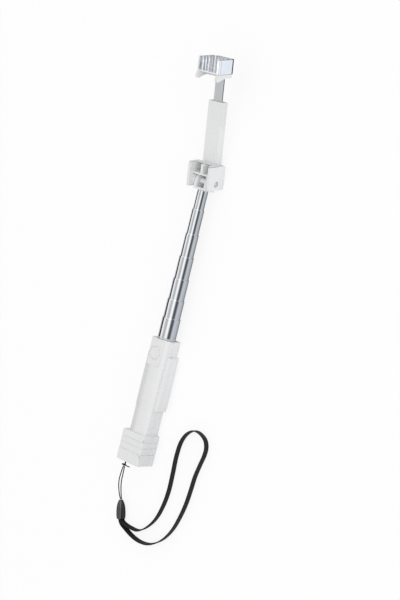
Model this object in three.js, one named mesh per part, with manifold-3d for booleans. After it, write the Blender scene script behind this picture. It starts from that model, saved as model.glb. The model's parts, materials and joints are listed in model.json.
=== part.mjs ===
// A telescopic selfie stick with a folding phone head, lying on its back beside its wrist strap.
//
// Everything is in millimetres. X runs across the stick, Y along it from the end block to the
// phone head, and Z up, so that the shutter button faces up. The stick is drawn about its own
// axis, with y = 0 at the foot of the end block, and is moved to its final place at the end.
// The head is drawn in a frame of its own, about the hinge pin: x across, y up the head and
// z towards the side that the phone's screen faces.

import * as THREE from 'three';
import { mergeVertices } from 'three/addons/utils/BufferGeometryUtils.js';
import Module from 'manifold-3d';

const wasm = await Module();
wasm.setup();

// ---------------------------------------------------------------- driving dimensions

// Grip.
const GRIP_TOP = 107; // from the foot of the end block to the mouth of the grip
const BODY_SIDE_WALL = 1.85; // around the largest tube, as are the two below
const BODY_FRONT_WALL = 2.15; // at the highest line of the rounded front
const BODY_BACK_WALL = 1.85;
const BODY_FRONT_EDGE = 6.8; // where the flat side meets the rounded front
const BODY_BACK_EDGE = 7.6;
const WING_PROUD = 2.7; // beyond the body's flat side
const WING_FRONT = 4.9;
const WING_BACK = 8;
const WING_BOTTOM = 47.5;
const WING_TOP = 94;
const WING_CORNER = 1;
const PAD_HALF_WIDTH = 6.5; // the raised land around the shutter button
const PAD_PROUD = 0.3; // above the body's highest line
const PAD_BOTTOM = 84;
const PAD_CORNER = 2.5;

// End block.
const BLOCK_SIDE_PROUD = 2.85; // beyond the body, to each side
const BLOCK_HEIGHT = 26;
const BLOCK_FRONT_PROUD = 2.4; // above the body's highest line
const BLOCK_BACK = 8;
const BLOCK_CORNER = 1.2;
const BLOCK_WALL = 1.6;
const BODY_IN_BLOCK = 2; // how far the grip's body runs into the end block
const GROOVE_HEIGHTS = [10, 15.5, 20.6];
const GROOVE_WIDTH = 0.8;
const GROOVE_DEPTH = 0.45;

// Telescopic tubes, numbered from the grip. Each exposure is the length that shows at rest.
const TOP_TUBE_DIAMETER = 9;
const TUBE_DIAMETER_STEP = 1.05;
const TUBE_WALL = 0.3;
const TUBE_EXPOSURES = [18.4, 15.8, 17.7, 18.8, 19.4, 20.7, 16.3];
const COLLAR_LENGTH = 3;
const COLLAR_CLEARANCE = 0.06;
const BORE_CLEARANCE = 0.25;
const BORE_FLOOR = 27.5;
const MOUTH_BUSH_LENGTH = 6;
const MOUTH_BUSH_WALL = 0.55;
const MOUTH_LIP = 1.5;
const SNUG_GAP = 0.05; // daylight between pieces that touch
const CLEAR_GAP = 0.3; // daylight between pieces that lie close

// Shutter button.
const BUTTON_HEIGHT = 95; // along the stick
const BUTTON_RADIUS = 5.15;
const BUTTON_PROUD = 0.6; // above the raised land
const BUTTON_CLEARANCE = 0.2;
const BUTTON_FLANGE = 0.75;
const BUTTON_FLANGE_THICKNESS = 0.4;
const BUTTON_SKIN = 0.75; // shell left above the flange
const SWITCH_THICKNESS = 0.3;
const SWITCH_RADIUS = 2;
const FLEX_THICKNESS = 0.2;
const FLEX_HALF_WIDTH = 2;
const FLEX_DISC_RADIUS = 3.4; // the round end that carries the button's switch

// Hinge between the top tube and the head.
const PIN_ABOVE_TUBE = 7.3;
const PIN_RADIUS = 1.6;
const PIN_CLEARANCE = 0.05;
const PIN_HEAD_PROUD = 0.35; // the pin's head beyond its shank, all round
const PIN_HEAD_THICKNESS = 0.6;
const KNUCKLE_RADIUS = 5.3;
const EAR_INNER = 4;
const EAR_THICKNESS = 2.8;
const BLOCK_BASE_THICKNESS = 1.8;
const BASE_CORNER = 1;
const HINGE_PLUG_LENGTH = 6; // how far the hinge block goes down into the top tube
const BARREL_RADIUS = 2.5;
const WASHER_THICKNESS = 0.3;
const WASHER_RADIUS = 4.6;
const HINGE_GAP = 0.15;
const HEAD_TILT_DEG = 12;

// Head frame.
const HEAD_HALF_WIDTH = 12.2;
const HEAD_WALL = 2.3;
const HEAD_HALF_DEPTH = 9.1;
const HEAD_BELOW_PIN = 5.1;
const HEAD_CORNER = 1.4;
const PIN_RECESS_CLEARANCE = 0.55; // around the pin's head
const PIN_RECESS_DEPTH = 1.3;
const BACK_WALL = 1.9;
const BACK_WALL_BOTTOM = 1.5;
const SHELF_THICKNESS = 1.4;
const SHELF_FRONT = 5.8;
const RIB_THICKNESS = 2.4;
const SEAT_HEIGHT = 15.7; // where the phone's lower edge rests
const SEAT_PAD_THICKNESS = 0.8;
const SEAT_PAD_MARGIN = 0.4;
const SEAT_PAD_BRIDGE = 1.8; // front of the part of the pad that joins its two sides

// Width of the phone that the jaw is open for.
const PHONE_WIDTH = 70.9;

// Spine behind the phone, and the strip that slides in it.
const SPINE_HALF_WIDTH = 7.5;
const SPINE_TOP = 66;
const SPINE_FRONT = -2.6;
const SPINE_SIDE_WALL = 1.3;
const POCKET_FRONT = -4.4;
const POCKET_BOTTOM = 18;
const SPINE_END_WALL = 2;
const COVER_THICKNESS = 1.1;
const COVER_CLEARANCE = 0.2;
const STRIP_HALF_WIDTH = 4.5;
const STRIP_THICKNESS = 1.1;
const STRIP_FRONT = -4.9;
const STRIP_CLEARANCE = 0.25;
const STRIP_BOTTOM = 33;
const JAW_TRAVEL_UP = 14;
const SPRING = { below: 10, length: 16, leaf: 0.3, halfWidth: 2.5 }; // below the spine's lip
const STOP_PIN_RADIUS = 0.9;

// Jaw.
const JAW_HALF_WIDTH = 11.7;
const JAW_SIDE_WALL = 2.5;
const JAW_BASE_HEIGHT = 3.4; // from the clamping face to where the bright shell begins
const JAW_BACK = -5.7;
const JAW_FRONT = 10.5;
const HOOK_REACH = 1.5; // how far each hook bulges past the front
const HOOK_DROP = 2.5; // how far each tip hangs below the clamping face
const JAW_WEB_FRONT = 0.8;
const JAW_RIB_HALF_WIDTH = 3.3;
const JAW_RIB_FRONT = 3.4;
const STRIP_IN_JAW = 3;
const JAW_PAD_THICKNESS = 0.6;
const JAW_PAD_MARGIN = 0.4;
const JAW_WEB_BEHIND_STRIP = 1.4;
const SHELL_HEIGHT = 11.7;
const SHELL_BACK = -8.7;
const SHELL_WALL = 1.3;
const SHELL_BACK_CORNER = 4;
const SHELL_FLOOR = 1;

// Fasteners.
const SCREW_RADIUS = 0.85;
const SCREW_HEAD_RADIUS = 1.6;
const SCREW_HEAD_THICKNESS = 1.1;
const SCREW_CLEARANCE = 0.06;
const SCREW_SINK = 0.6; // how far a grip screw's head lies under the surface
const COVER_SCREW = { sink: 0.1, head: 0.5, length: 1.45 };
const GRIP_SCREW_OUT = 0.7; // from the body's flat side out to a screw's middle
const GRIP_SCREW_YS = [54, 84];
const GRIP_SCREW_TIP = 3;
const COVER_SCREW_INSET = 3.5;

// Electronics in the end block.
const BATTERY = { halfWidth: 9, thickness: 5, corner: 1.2 };
const BOARD = { halfWidth: 9.6, thickness: 1, lift: 1.8 }; // lift above the block's inner back
const SOCKET = { depth: 5.6, width: 7.6, height: 2.6, wall: 0.35, clearance: 0.15 };
const SOCKET_HEIGHT = 13; // along the stick

// Wrist strap. The string and the strap lie on the surface that the stick lies on.
const BAR_RADIUS = 0.6;
const LANYARD_X = -4.2;
const LANYARD_Z = 8.2;
const EYE_HALF_WIDTH = 2.2;
const EYE_HALF_HEIGHT = 2;
const EYE_DEPTH = 4.4;
const STRING_DIAMETER = 0.95;
const STRING_SIDES = 8;
const STRING_STEPS = 20;
const STRAND_GAP = 0.3; // between the two strands at their ends
const STRAND_BOW = 0.8; // how much further apart each strand is half way
const KNOT = { x: -5.1, y: -4.1, halfWidth: 2.4, halfLength: 1, halfHeight: 1.1 };
const KNOT_TAIL = 6.5; // from the middle of the knot to the string's cut end
const SLIDER_RADIUS = 3.92;
const SLIDER_LENGTH = 16.2;
const SLIDER_TIP = [-11.3, -37.7];
const SLIDER_DIRECTION = [0.31, -0.951];
const STRAP_WIDTH = 5;
const STRAP_THICKNESS = 1.1;
const STRAP_STEPS = 76;
const SOFT_REST = 0.05; // daylight between the lanyard and the surface

// The slider's outline from its tip to its foot, as shares of its radius and its length.
const SLIDER_PROFILE = [
  [0, 0],
  [0.33, 0.01],
  [0.58, 0.1],
  [0.82, 0.26],
  [0.94, 0.4],
  [1, 0.6],
  [1, 0.85],
  [0.9, 1],
  [0, 1],
];

// The string's route from the knot down to the slider, half way between its two strands.
const STRING_POINTS = [
  [-4.8, -5.4, 8.2],
  [-5.8, -8.5, 7.3],
  [-8, -13.5, 4.9],
  [-10.9, -19.5, 1.6],
  [-13, -25.2, -1.8],
  [-13.6, -30.9, -4.5],
  [-12.8, -34.9, -5.6],
  [-11.45, -37.4, -5.75],
];

// The strap's path on the surface, from the slider out, round and back to it.
const STRAP_POINTS = [
  [-5.3, -53.5],
  [-3.6, -54.6],
  [-0.2, -55.9],
  [5.4, -56.6],
  [14, -55.9],
  [21.6, -50.8],
  [29.4, -40.6],
  [33.8, -28],
  [35.9, -13.7],
  [35.6, 2],
  [34.9, 16.5],
  [36, 29.2],
  [39.6, 37.2],
  [44.6, 41.8],
  [49.5, 43.2],
  [55.2, 42.2],
  [60.6, 38.9],
  [63.2, 33.5],
  [63.2, 27.4],
  [61.2, 18],
  [59.2, 7.5],
  [58.3, -4.5],
  [57, -16.8],
  [54.2, -29.5],
  [50, -41.6],
  [43.4, -52],
  [35.6, -58.9],
  [27.6, -62.8],
  [18, -63.9],
  [8.6, -62.4],
  [0.6, -59.4],
  [-4.2, -56.6],
  [-6.8, -54],
];

// How finely round things are drawn.
const ROUND = 24; // sides of the tubes and other large round pieces
const SMALL_ROUND = 12;
const HALF_ROUND = 10;
const ARC_SIDES = 4;
const THROUGH = 0.5; // how far a cutting tool runs past the face it cuts

// ---------------------------------------------------------------- dependent dimensions

const TUBE_COUNT = TUBE_EXPOSURES.length;
const TUBE_LENGTH = GRIP_TOP - BORE_FLOOR - COLLAR_LENGTH;
const tubeRadius = (k) => (TOP_TUBE_DIAMETER + TUBE_DIAMETER_STEP * (TUBE_COUNT - k)) / 2;
const tubeTop = (k) => GRIP_TOP + TUBE_EXPOSURES.slice(0, k).reduce((a, b) => a + b, 0);
const BORE_RADIUS = tubeRadius(1) + BORE_CLEARANCE;
const BODY_HALF_WIDTH = tubeRadius(1) + BODY_SIDE_WALL;
const BODY_FRONT = tubeRadius(1) + BODY_FRONT_WALL;
const BODY_BACK = tubeRadius(1) + BODY_BACK_WALL;
const WING_HALF_WIDTH = BODY_HALF_WIDTH + WING_PROUD;
const PAD_FRONT = BODY_FRONT + PAD_PROUD;
const BLOCK_HALF_WIDTH = BODY_HALF_WIDTH + BLOCK_SIDE_PROUD;
const BLOCK_FRONT = BODY_FRONT + BLOCK_FRONT_PROUD;
const GRIP_SCREW_X = BODY_HALF_WIDTH + GRIP_SCREW_OUT;
const PIN_Y = tubeTop(TUBE_COUNT) + PIN_ABOVE_TUBE;
const PIN_HEAD_RADIUS = PIN_RADIUS + PIN_HEAD_PROUD;
const PIN_RECESS_RADIUS = PIN_HEAD_RADIUS + PIN_RECESS_CLEARANCE;
const PIN_HOLE_RADIUS = (PIN_RADIUS + PIN_CLEARANCE) / Math.cos(Math.PI / SMALL_ROUND);
const EAR_OUTER = EAR_INNER + EAR_THICKNESS;
const WASHER_X = EAR_OUTER + HINGE_GAP;
const BOSS_X = WASHER_X + WASHER_THICKNESS + HINGE_GAP;
const HEAD_INNER = HEAD_HALF_WIDTH - HEAD_WALL;
const SEAT_WALL_TOP = SEAT_HEIGHT - SEAT_PAD_THICKNESS - CLEAR_GAP;
const SHELF_BOTTOM = KNUCKLE_RADIUS + 0.45;
const CLAMP_FACE = SEAT_HEIGHT + PHONE_WIDTH;
const JAW_PAD_TOP = CLAMP_FACE + JAW_PAD_THICKNESS;
const JAW_SPLIT = CLAMP_FACE + JAW_BASE_HEIGHT;
const SHELL_TOP = JAW_SPLIT + SHELL_HEIGHT;
const BASE_TOP = JAW_SPLIT - CLEAR_GAP / 2;
const LIP_BOTTOM = SPINE_TOP - SPINE_END_WALL;
const STOP_PIN_Y = LIP_BOTTOM - JAW_TRAVEL_UP - STOP_PIN_RADIUS - COVER_CLEARANCE;
const BUTTON_FACE = PAD_FRONT + BUTTON_PROUD;
const FLANGE_TOP = PAD_FRONT - BUTTON_SKIN;
const FLEX_BOTTOM = BORE_RADIUS + 2 * SNUG_GAP;
const SWITCH_BOTTOM = FLEX_BOTTOM + FLEX_THICKNESS;
const COVER_BACK = -HEAD_HALF_DEPTH;

// ---------------------------------------------------------------- materials

const finish = (color, roughness, metalness = 0) =>
  new THREE.MeshStandardMaterial({ color, roughness, metalness });
const materials = {
  whitePlastic: () => finish(0xeceded, 0.35),
  chrome: () => finish(0xd5d8dd, 0.07, 1),
  steel: () => finish(0xb4b6b8, 0.32, 1),
  nylon: () => finish(0xd9d9d4, 0.6),
  pad: () => finish(0xe4e4e2, 0.75),
  blackPlastic: () => finish(0x111213, 0.2),
  strap: () => finish(0x161617, 0.7),
  board: () => finish(0x1c5b38, 0.5),
  cell: () => finish(0xbfc2c6, 0.4, 0.6),
  flex: () => finish(0xb3762c, 0.5),
};

// ---------------------------------------------------------------- solids

function solid(geometry) {
  const bare = geometry.clone();
  bare.deleteAttribute('normal');
  bare.deleteAttribute('uv');
  const merged = mergeVertices(bare, 1e-4);
  const vertProperties = new Float32Array(merged.attributes.position.array);
  const triVerts = new Uint32Array(merged.index.array);
  return new wasm.Manifold(new wasm.Mesh({ numProp: 3, vertProperties, triVerts }));
}

function toGeometry(manifold) {
  const mesh = manifold.getMesh();
  const geometry = new THREE.BufferGeometry();
  geometry.setAttribute('position', new THREE.BufferAttribute(mesh.vertProperties, 3));
  geometry.setIndex(new THREE.BufferAttribute(mesh.triVerts, 1));
  geometry.computeVertexNormals();
  return geometry;
}

const join = (...solids) => solids.reduce((a, b) => a.add(b));
const cut = (body, ...tools) => tools.reduce((a, b) => a.subtract(b), body);

function box(x, y, z) {
  const geometry = new THREE.BoxGeometry(x[1] - x[0], y[1] - y[0], z[1] - z[0]);
  geometry.translate((x[0] + x[1]) / 2, (y[0] + y[1]) / 2, (z[0] + z[1]) / 2);
  return solid(geometry);
}

// A round bar along one axis, centred on the other two.
function rod(axis, radius, from, to, centre, sides = SMALL_ROUND) {
  const geometry = new THREE.CylinderGeometry(radius, radius, to - from, sides);
  geometry.translate(0, (from + to) / 2, 0);
  if (axis === 'x') geometry.rotateZ(-Math.PI / 2);
  if (axis === 'z') geometry.rotateX(Math.PI / 2);
  geometry.translate(...centre);
  return solid(geometry);
}

// A ring about the stick's axis.
function ring(inner, outer, from, to) {
  const corners = [[inner, from], [outer, from], [outer, to], [inner, to], [inner, from]];
  const profile = corners.map(([r, y]) => new THREE.Vector2(r, y));
  return solid(new THREE.LatheGeometry(profile, ROUND));
}

// A section drawn in x and z, drawn out along the stick.
function alongStick(shape, from, to, curveSegments = ARC_SIDES) {
  const geometry = new THREE.ExtrudeGeometry(shape, {
    depth: to - from, bevelEnabled: false, curveSegments,
  });
  geometry.rotateX(Math.PI / 2);
  geometry.translate(0, to, 0);
  return solid(geometry);
}

// A profile drawn in z and y, drawn out across the stick.
function acrossStick(shape, from, to, curveSegments = ARC_SIDES) {
  const geometry = new THREE.ExtrudeGeometry(shape, {
    depth: to - from, bevelEnabled: false, curveSegments,
  });
  geometry.rotateY(-Math.PI / 2);
  geometry.translate(to, 0, 0);
  return solid(geometry);
}

// A plan drawn in x and y, drawn out upwards.
function upwards(shape, from, to, curveSegments = ARC_SIDES) {
  const geometry = new THREE.ExtrudeGeometry(shape, {
    depth: to - from, bevelEnabled: false, curveSegments,
  });
  geometry.translate(0, 0, from);
  return solid(geometry);
}

function roundedRectangle(a, b, radius) {
  const [left, bottom] = a;
  const [right, top] = b;
  const shape = new THREE.Shape();
  shape.moveTo(left + radius, bottom);
  shape.absarc(right - radius, bottom + radius, radius, -Math.PI / 2, 0);
  shape.absarc(right - radius, top - radius, radius, 0, Math.PI / 2);
  shape.absarc(left + radius, top - radius, radius, Math.PI / 2, Math.PI);
  shape.absarc(left + radius, bottom + radius, radius, Math.PI, 1.5 * Math.PI);
  return shape;
}

// Both walls of a pair, mirrored in x.
function pair(make) {
  return join(make(1), make(-1));
}

function across(side, inner, outer) {
  return side > 0 ? [inner, outer] : [-outer, -inner];
}

// All the space on one side of the plane where the grip's two shells meet.
function halfSpace(side) {
  const reach = 2 * GRIP_TOP;
  const z = side > 0 ? [0, reach] : [-reach, 0];
  return box([-reach, reach], [-reach, reach], z);
}

function piece(parent, name, shape, material) {
  const mesh = new THREE.Mesh(toGeometry(shape), material());
  mesh.name = name;
  parent.add(mesh);
}

// ---------------------------------------------------------------- grip shells

// The grip's section: flat sides joined by a shallow arc in front and another behind.
function bodySection() {
  const shape = new THREE.Shape();
  const arc = (edge, crown, sign) => {
    const rise = crown - edge;
    const radius = (BODY_HALF_WIDTH ** 2 + rise ** 2) / (2 * rise);
    const sweep = Math.asin(BODY_HALF_WIDTH / radius);
    const start = sign > 0 ? Math.PI / 2 - sweep : -Math.PI / 2 - sweep;
    shape.absarc(0, sign * (crown - radius), radius, start, start + 2 * sweep);
  };
  arc(BODY_FRONT_EDGE, BODY_FRONT, 1);
  arc(BODY_BACK_EDGE, BODY_BACK, -1);
  return shape;
}

function gripOutside() {
  const body = alongStick(
    bodySection(), BLOCK_HEIGHT - BODY_IN_BLOCK, GRIP_TOP, 2 * ARC_SIDES,
  );
  const wings = alongStick(
    roundedRectangle([-WING_HALF_WIDTH, -WING_BACK], [WING_HALF_WIDTH, WING_FRONT], WING_CORNER),
    WING_BOTTOM, WING_TOP,
  );
  const padTop = GRIP_TOP + 2 * PAD_CORNER;
  const pad = upwards(
    roundedRectangle([-PAD_HALF_WIDTH, PAD_BOTTOM], [PAD_HALF_WIDTH, padTop], PAD_CORNER),
    0, PAD_FRONT,
  );
  const padAboveMouth = box([-WING_HALF_WIDTH, WING_HALF_WIDTH],
    [GRIP_TOP, padTop + THROUGH], [-THROUGH, BLOCK_FRONT]);
  const block = alongStick(
    roundedRectangle([-BLOCK_HALF_WIDTH, -BLOCK_BACK], [BLOCK_HALF_WIDTH, BLOCK_FRONT],
      BLOCK_CORNER), 0, BLOCK_HEIGHT,
  );
  return cut(join(body, wings, block, cut(pad, padAboveMouth)), ...blockGrooves(), lanyardEye());
}

function blockGrooves() {
  return GROOVE_HEIGHTS.map((y) => {
    const from = y - GROOVE_WIDTH / 2;
    const to = y + GROOVE_WIDTH / 2;
    const outside = alongStick(roundedRectangle(
      [-BLOCK_HALF_WIDTH - THROUGH, -BLOCK_BACK - THROUGH],
      [BLOCK_HALF_WIDTH + THROUGH, BLOCK_FRONT + THROUGH], BLOCK_CORNER,
    ), from, to);
    const core = alongStick(roundedRectangle(
      [-BLOCK_HALF_WIDTH + GROOVE_DEPTH, -BLOCK_BACK + GROOVE_DEPTH],
      [BLOCK_HALF_WIDTH - GROOVE_DEPTH, BLOCK_FRONT - GROOVE_DEPTH], BLOCK_CORNER,
    ), from - THROUGH, to + THROUGH);
    return cut(outside, core);
  });
}

// The slot in the foot of the end block that the string is looped through, round a bar.
function lanyardEye() {
  return box(
    [LANYARD_X - EYE_HALF_WIDTH, LANYARD_X + EYE_HALF_WIDTH], [-THROUGH, EYE_DEPTH],
    [LANYARD_Z - EYE_HALF_HEIGHT, LANYARD_Z + EYE_HALF_HEIGHT],
  );
}

function gripInside() {
  const bore = rod('y', BORE_RADIUS, BORE_FLOOR, GRIP_TOP + THROUGH, [0, 0, 0], ROUND);
  const bushSeat = rod('y', BORE_RADIUS + MOUTH_BUSH_WALL, mouthBushBottom(),
    GRIP_TOP - MOUTH_LIP, [0, 0, 0], ROUND);
  const room = box(
    [-BLOCK_HALF_WIDTH + BLOCK_WALL, BLOCK_HALF_WIDTH - BLOCK_WALL],
    [EYE_DEPTH + BLOCK_WALL, BLOCK_HEIGHT - BLOCK_WALL],
    [-BLOCK_BACK + BLOCK_WALL, BLOCK_FRONT - BLOCK_WALL],
  );
  const flexWay = box([-FLEX_HALF_WIDTH - CLEAR_GAP, FLEX_HALF_WIDTH + CLEAR_GAP],
    [BLOCK_HEIGHT - BLOCK_WALL - THROUGH, BUTTON_HEIGHT],
    [BORE_RADIUS - THROUGH, SWITCH_BOTTOM + 2 * SNUG_GAP]);
  const flangeRoom = rod('z', BUTTON_RADIUS + BUTTON_FLANGE + BUTTON_CLEARANCE,
    0, FLANGE_TOP, [0, BUTTON_HEIGHT, 0], ROUND);
  const buttonHole = rod('z', BUTTON_RADIUS + BUTTON_CLEARANCE,
    0, BLOCK_FRONT, [0, BUTTON_HEIGHT, 0], ROUND);
  const socketHole = box([-BLOCK_HALF_WIDTH - THROUGH, -BLOCK_HALF_WIDTH + 2 * BLOCK_WALL],
    socketSpan(SOCKET.clearance), socketRise(SOCKET.clearance));
  return join(bore, bushSeat, room, flexWay, flangeRoom, buttonHole, socketHole);
}

const mouthBushBottom = () => GRIP_TOP - MOUTH_LIP - MOUTH_BUSH_LENGTH;
const socketSpan = (gap) =>
  [SOCKET_HEIGHT - SOCKET.width / 2 - gap, SOCKET_HEIGHT + SOCKET.width / 2 + gap];
const boardTop = () => -BLOCK_BACK + BLOCK_WALL + BOARD.lift + BOARD.thickness;
const socketRise = (gap) => {
  const foot = boardTop() + 2 * SNUG_GAP;
  return [foot - gap, foot + SOCKET.height + gap];
};

function gripScrewPlaces() {
  return GRIP_SCREW_YS.flatMap((y) => [[-GRIP_SCREW_X, y], [GRIP_SCREW_X, y]]);
}

function gripScrew([x, y], gap = 0) {
  const face = -WING_BACK + SCREW_SINK;
  const neck = face + SCREW_HEAD_THICKNESS;
  return join(
    rod('z', SCREW_HEAD_RADIUS + gap, face - (gap ? THROUGH : 0), neck + gap, [x, y, 0]),
    rod('z', SCREW_RADIUS + gap, neck - SNUG_GAP, GRIP_SCREW_TIP + gap, [x, y, 0]),
  );
}

function gripScrewHoles() {
  return gripScrewPlaces().map(([x, y]) => join(
    gripScrew([x, y], SCREW_CLEARANCE),
    rod('z', SCREW_HEAD_RADIUS + SCREW_CLEARANCE, -WING_BACK - THROUGH,
      -WING_BACK + SCREW_SINK + SNUG_GAP, [x, y, 0]),
  ));
}

function addGrip(stick) {
  const grip = cut(gripOutside(), gripInside(), ...gripScrewHoles());
  piece(stick, 'front_shell', grip.intersect(halfSpace(1)), materials.whitePlastic);
  piece(stick, 'rear_shell', grip.intersect(halfSpace(-1)), materials.whitePlastic);
  const bush = ring(tubeRadius(1) + COLLAR_CLEARANCE, BORE_RADIUS + MOUTH_BUSH_WALL - SNUG_GAP,
    mouthBushBottom() + SNUG_GAP, GRIP_TOP - MOUTH_LIP - SNUG_GAP);
  piece(stick, 'mouth_bush', bush, materials.nylon);
  gripScrewPlaces().forEach((place, i) => {
    piece(stick, `grip_screw_${i + 1}`, gripScrew(place), materials.steel);
  });
}

// ---------------------------------------------------------------- button and electronics

function addButton(stick) {
  const centre = [0, BUTTON_HEIGHT, 0];
  const foot = FLANGE_TOP - BUTTON_FLANGE_THICKNESS;
  const button = join(
    rod('z', BUTTON_RADIUS, foot, BUTTON_FACE, centre, ROUND),
    rod('z', BUTTON_RADIUS + BUTTON_FLANGE, foot, FLANGE_TOP - SNUG_GAP, centre, ROUND),
  );
  piece(stick, 'shutter_button', button, materials.whitePlastic);
  const dome = rod('z', SWITCH_RADIUS, SWITCH_BOTTOM + SNUG_GAP,
    SWITCH_BOTTOM + SWITCH_THICKNESS, centre);
  piece(stick, 'button_switch', dome, materials.steel);
}

function addElectronics(stick) {
  const roomBottom = EYE_DEPTH + BLOCK_WALL;
  const roomTop = BLOCK_HEIGHT - BLOCK_WALL;
  const flex = join(
    box([-FLEX_HALF_WIDTH, FLEX_HALF_WIDTH], [roomTop - THROUGH + SNUG_GAP, BUTTON_HEIGHT],
      [FLEX_BOTTOM, SWITCH_BOTTOM]),
    rod('z', FLEX_DISC_RADIUS, FLEX_BOTTOM, SWITCH_BOTTOM, [0, BUTTON_HEIGHT, 0]),
  );
  piece(stick, 'flex_cable', flex, materials.flex);
  const span = [roomBottom + CLEAR_GAP, roomTop - CLEAR_GAP];
  const board = box([-BOARD.halfWidth, BOARD.halfWidth], span,
    [boardTop() - BOARD.thickness, boardTop()]);
  piece(stick, 'circuit_board', board, materials.board);
  const cellTop = BLOCK_FRONT - BLOCK_WALL - CLEAR_GAP;
  const cell = upwards(roundedRectangle(
    [-BATTERY.halfWidth, span[0]], [BATTERY.halfWidth, span[1] - THROUGH], BATTERY.corner,
  ), cellTop - BATTERY.thickness, cellTop);
  piece(stick, 'battery', cell, materials.cell);
  const mouth = -BLOCK_HALF_WIDTH + SOCKET.clearance;
  const [y0, y1] = socketSpan(0);
  const [z0, z1] = socketRise(0);
  const { wall } = SOCKET;
  const socket = cut(
    box([mouth, mouth + SOCKET.depth], [y0, y1], [z0, z1]),
    box([mouth - THROUGH, mouth + SOCKET.depth - wall], [y0 + wall, y1 - wall],
      [z0 + wall, z1 - wall]),
  );
  piece(stick, 'charging_socket', socket, materials.steel);
}

// ---------------------------------------------------------------- telescopic tubes

function addTubes(stick) {
  for (let k = 1; k <= TUBE_COUNT; k += 1) {
    const outer = tubeRadius(k);
    const inner = outer - TUBE_WALL;
    const top = tubeTop(k);
    const bottom = top - TUBE_LENGTH;
    piece(stick, `tube_${k}`, ring(inner, outer, bottom, top), materials.chrome);
    const guide = k === 1 ? BORE_RADIUS : tubeRadius(k - 1) - TUBE_WALL;
    const collar = ring(inner, guide - COLLAR_CLEARANCE, bottom - COLLAR_LENGTH, bottom - SNUG_GAP);
    piece(stick, `slide_collar_${k}`, collar, materials.nylon);
  }
}

// ---------------------------------------------------------------- hinge on the top tube

function addHinge(stick) {
  const top = tubeTop(TUBE_COUNT);
  const foot = top + SNUG_GAP;
  const ear = (side) => {
    const profile = new THREE.Shape();
    profile.moveTo(-KNUCKLE_RADIUS, foot);
    profile.lineTo(KNUCKLE_RADIUS, foot);
    profile.absarc(0, PIN_Y, KNUCKLE_RADIUS, 0, Math.PI);
    return acrossStick(profile, ...across(side, EAR_INNER, EAR_OUTER), HALF_ROUND);
  };
  const base = alongStick(
    roundedRectangle([-EAR_OUTER, -KNUCKLE_RADIUS], [EAR_OUTER, KNUCKLE_RADIUS], BASE_CORNER),
    foot, top + BLOCK_BASE_THICKNESS,
  );
  const plug = rod('y', tubeRadius(TUBE_COUNT) - TUBE_WALL - SNUG_GAP, top - HINGE_PLUG_LENGTH,
    foot + THROUGH, [0, 0, 0], ROUND);
  const pinHole = rod('x', PIN_HOLE_RADIUS, -HEAD_HALF_WIDTH, HEAD_HALF_WIDTH,
    [0, PIN_Y, 0]);
  piece(stick, 'hinge_block', cut(join(base, plug, pair(ear)), pinHole), materials.whitePlastic);

  const end = HEAD_HALF_WIDTH - PIN_RECESS_DEPTH + 2 * SNUG_GAP + PIN_HEAD_THICKNESS;
  const pin = join(
    rod('x', PIN_RADIUS, -end, end, [0, PIN_Y, 0]),
    pair((side) => rod('x', PIN_HEAD_RADIUS, ...across(side, end - PIN_HEAD_THICKNESS, end),
      [0, PIN_Y, 0])),
  );
  piece(stick, 'hinge_pin', pin, materials.steel);
  const barrelHalf = EAR_INNER - 2 * SNUG_GAP;
  const barrel = cut(rod('x', BARREL_RADIUS, -barrelHalf, barrelHalf, [0, PIN_Y, 0]), pinHole);
  piece(stick, 'hinge_barrel', barrel, materials.whitePlastic);
  const washer = (side) => cut(
    rod('x', WASHER_RADIUS, ...across(side, WASHER_X, WASHER_X + WASHER_THICKNESS),
      [0, PIN_Y, 0]), pinHole,
  );
  piece(stick, 'friction_washer_right', washer(1), materials.steel);
  piece(stick, 'friction_washer_left', washer(-1), materials.steel);
}

// ---------------------------------------------------------------- head

function headFrame() {
  const wall = (side) => acrossStick(
    roundedRectangle([-HEAD_HALF_DEPTH, -HEAD_BELOW_PIN], [HEAD_HALF_DEPTH, SEAT_WALL_TOP],
      HEAD_CORNER), ...across(side, HEAD_INNER - SNUG_GAP, HEAD_HALF_WIDTH),
  );
  const boss = (side) =>
    rod('x', KNUCKLE_RADIUS, ...across(side, BOSS_X, HEAD_INNER + THROUGH), [0, 0, 0], ROUND);
  const recess = (side) => rod('x', PIN_RECESS_RADIUS,
    ...across(side, HEAD_HALF_WIDTH - PIN_RECESS_DEPTH, HEAD_HALF_WIDTH + THROUGH), [0, 0, 0],
    ROUND);
  const inside = -HEAD_HALF_DEPTH + BACK_WALL;
  const back = box([-HEAD_INNER, HEAD_INNER], [BACK_WALL_BOTTOM, SEAT_WALL_TOP],
    [-HEAD_HALF_DEPTH, inside]);
  const shelf = box([-HEAD_INNER, HEAD_INNER], [SHELF_BOTTOM, SHELF_BOTTOM + SHELF_THICKNESS],
    [inside - THROUGH, SHELF_FRONT]);
  const rib = box([-RIB_THICKNESS / 2, RIB_THICKNESS / 2], [SHELF_BOTTOM, SEAT_WALL_TOP],
    [inside - THROUGH, SHELF_FRONT]);
  const spine = box([-SPINE_HALF_WIDTH, SPINE_HALF_WIDTH],
    [SEAT_WALL_TOP - BACK_WALL, SPINE_TOP], [-HEAD_HALF_DEPTH, SPINE_FRONT]);
  const pinHole = rod('x', PIN_HOLE_RADIUS, -HEAD_HALF_WIDTH, HEAD_HALF_WIDTH,
    [0, 0, 0]);
  return cut(join(pair(wall), pair(boss), back, shelf, rib, spine), pair(recess), pinHole,
    spinePocket());
}

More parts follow.
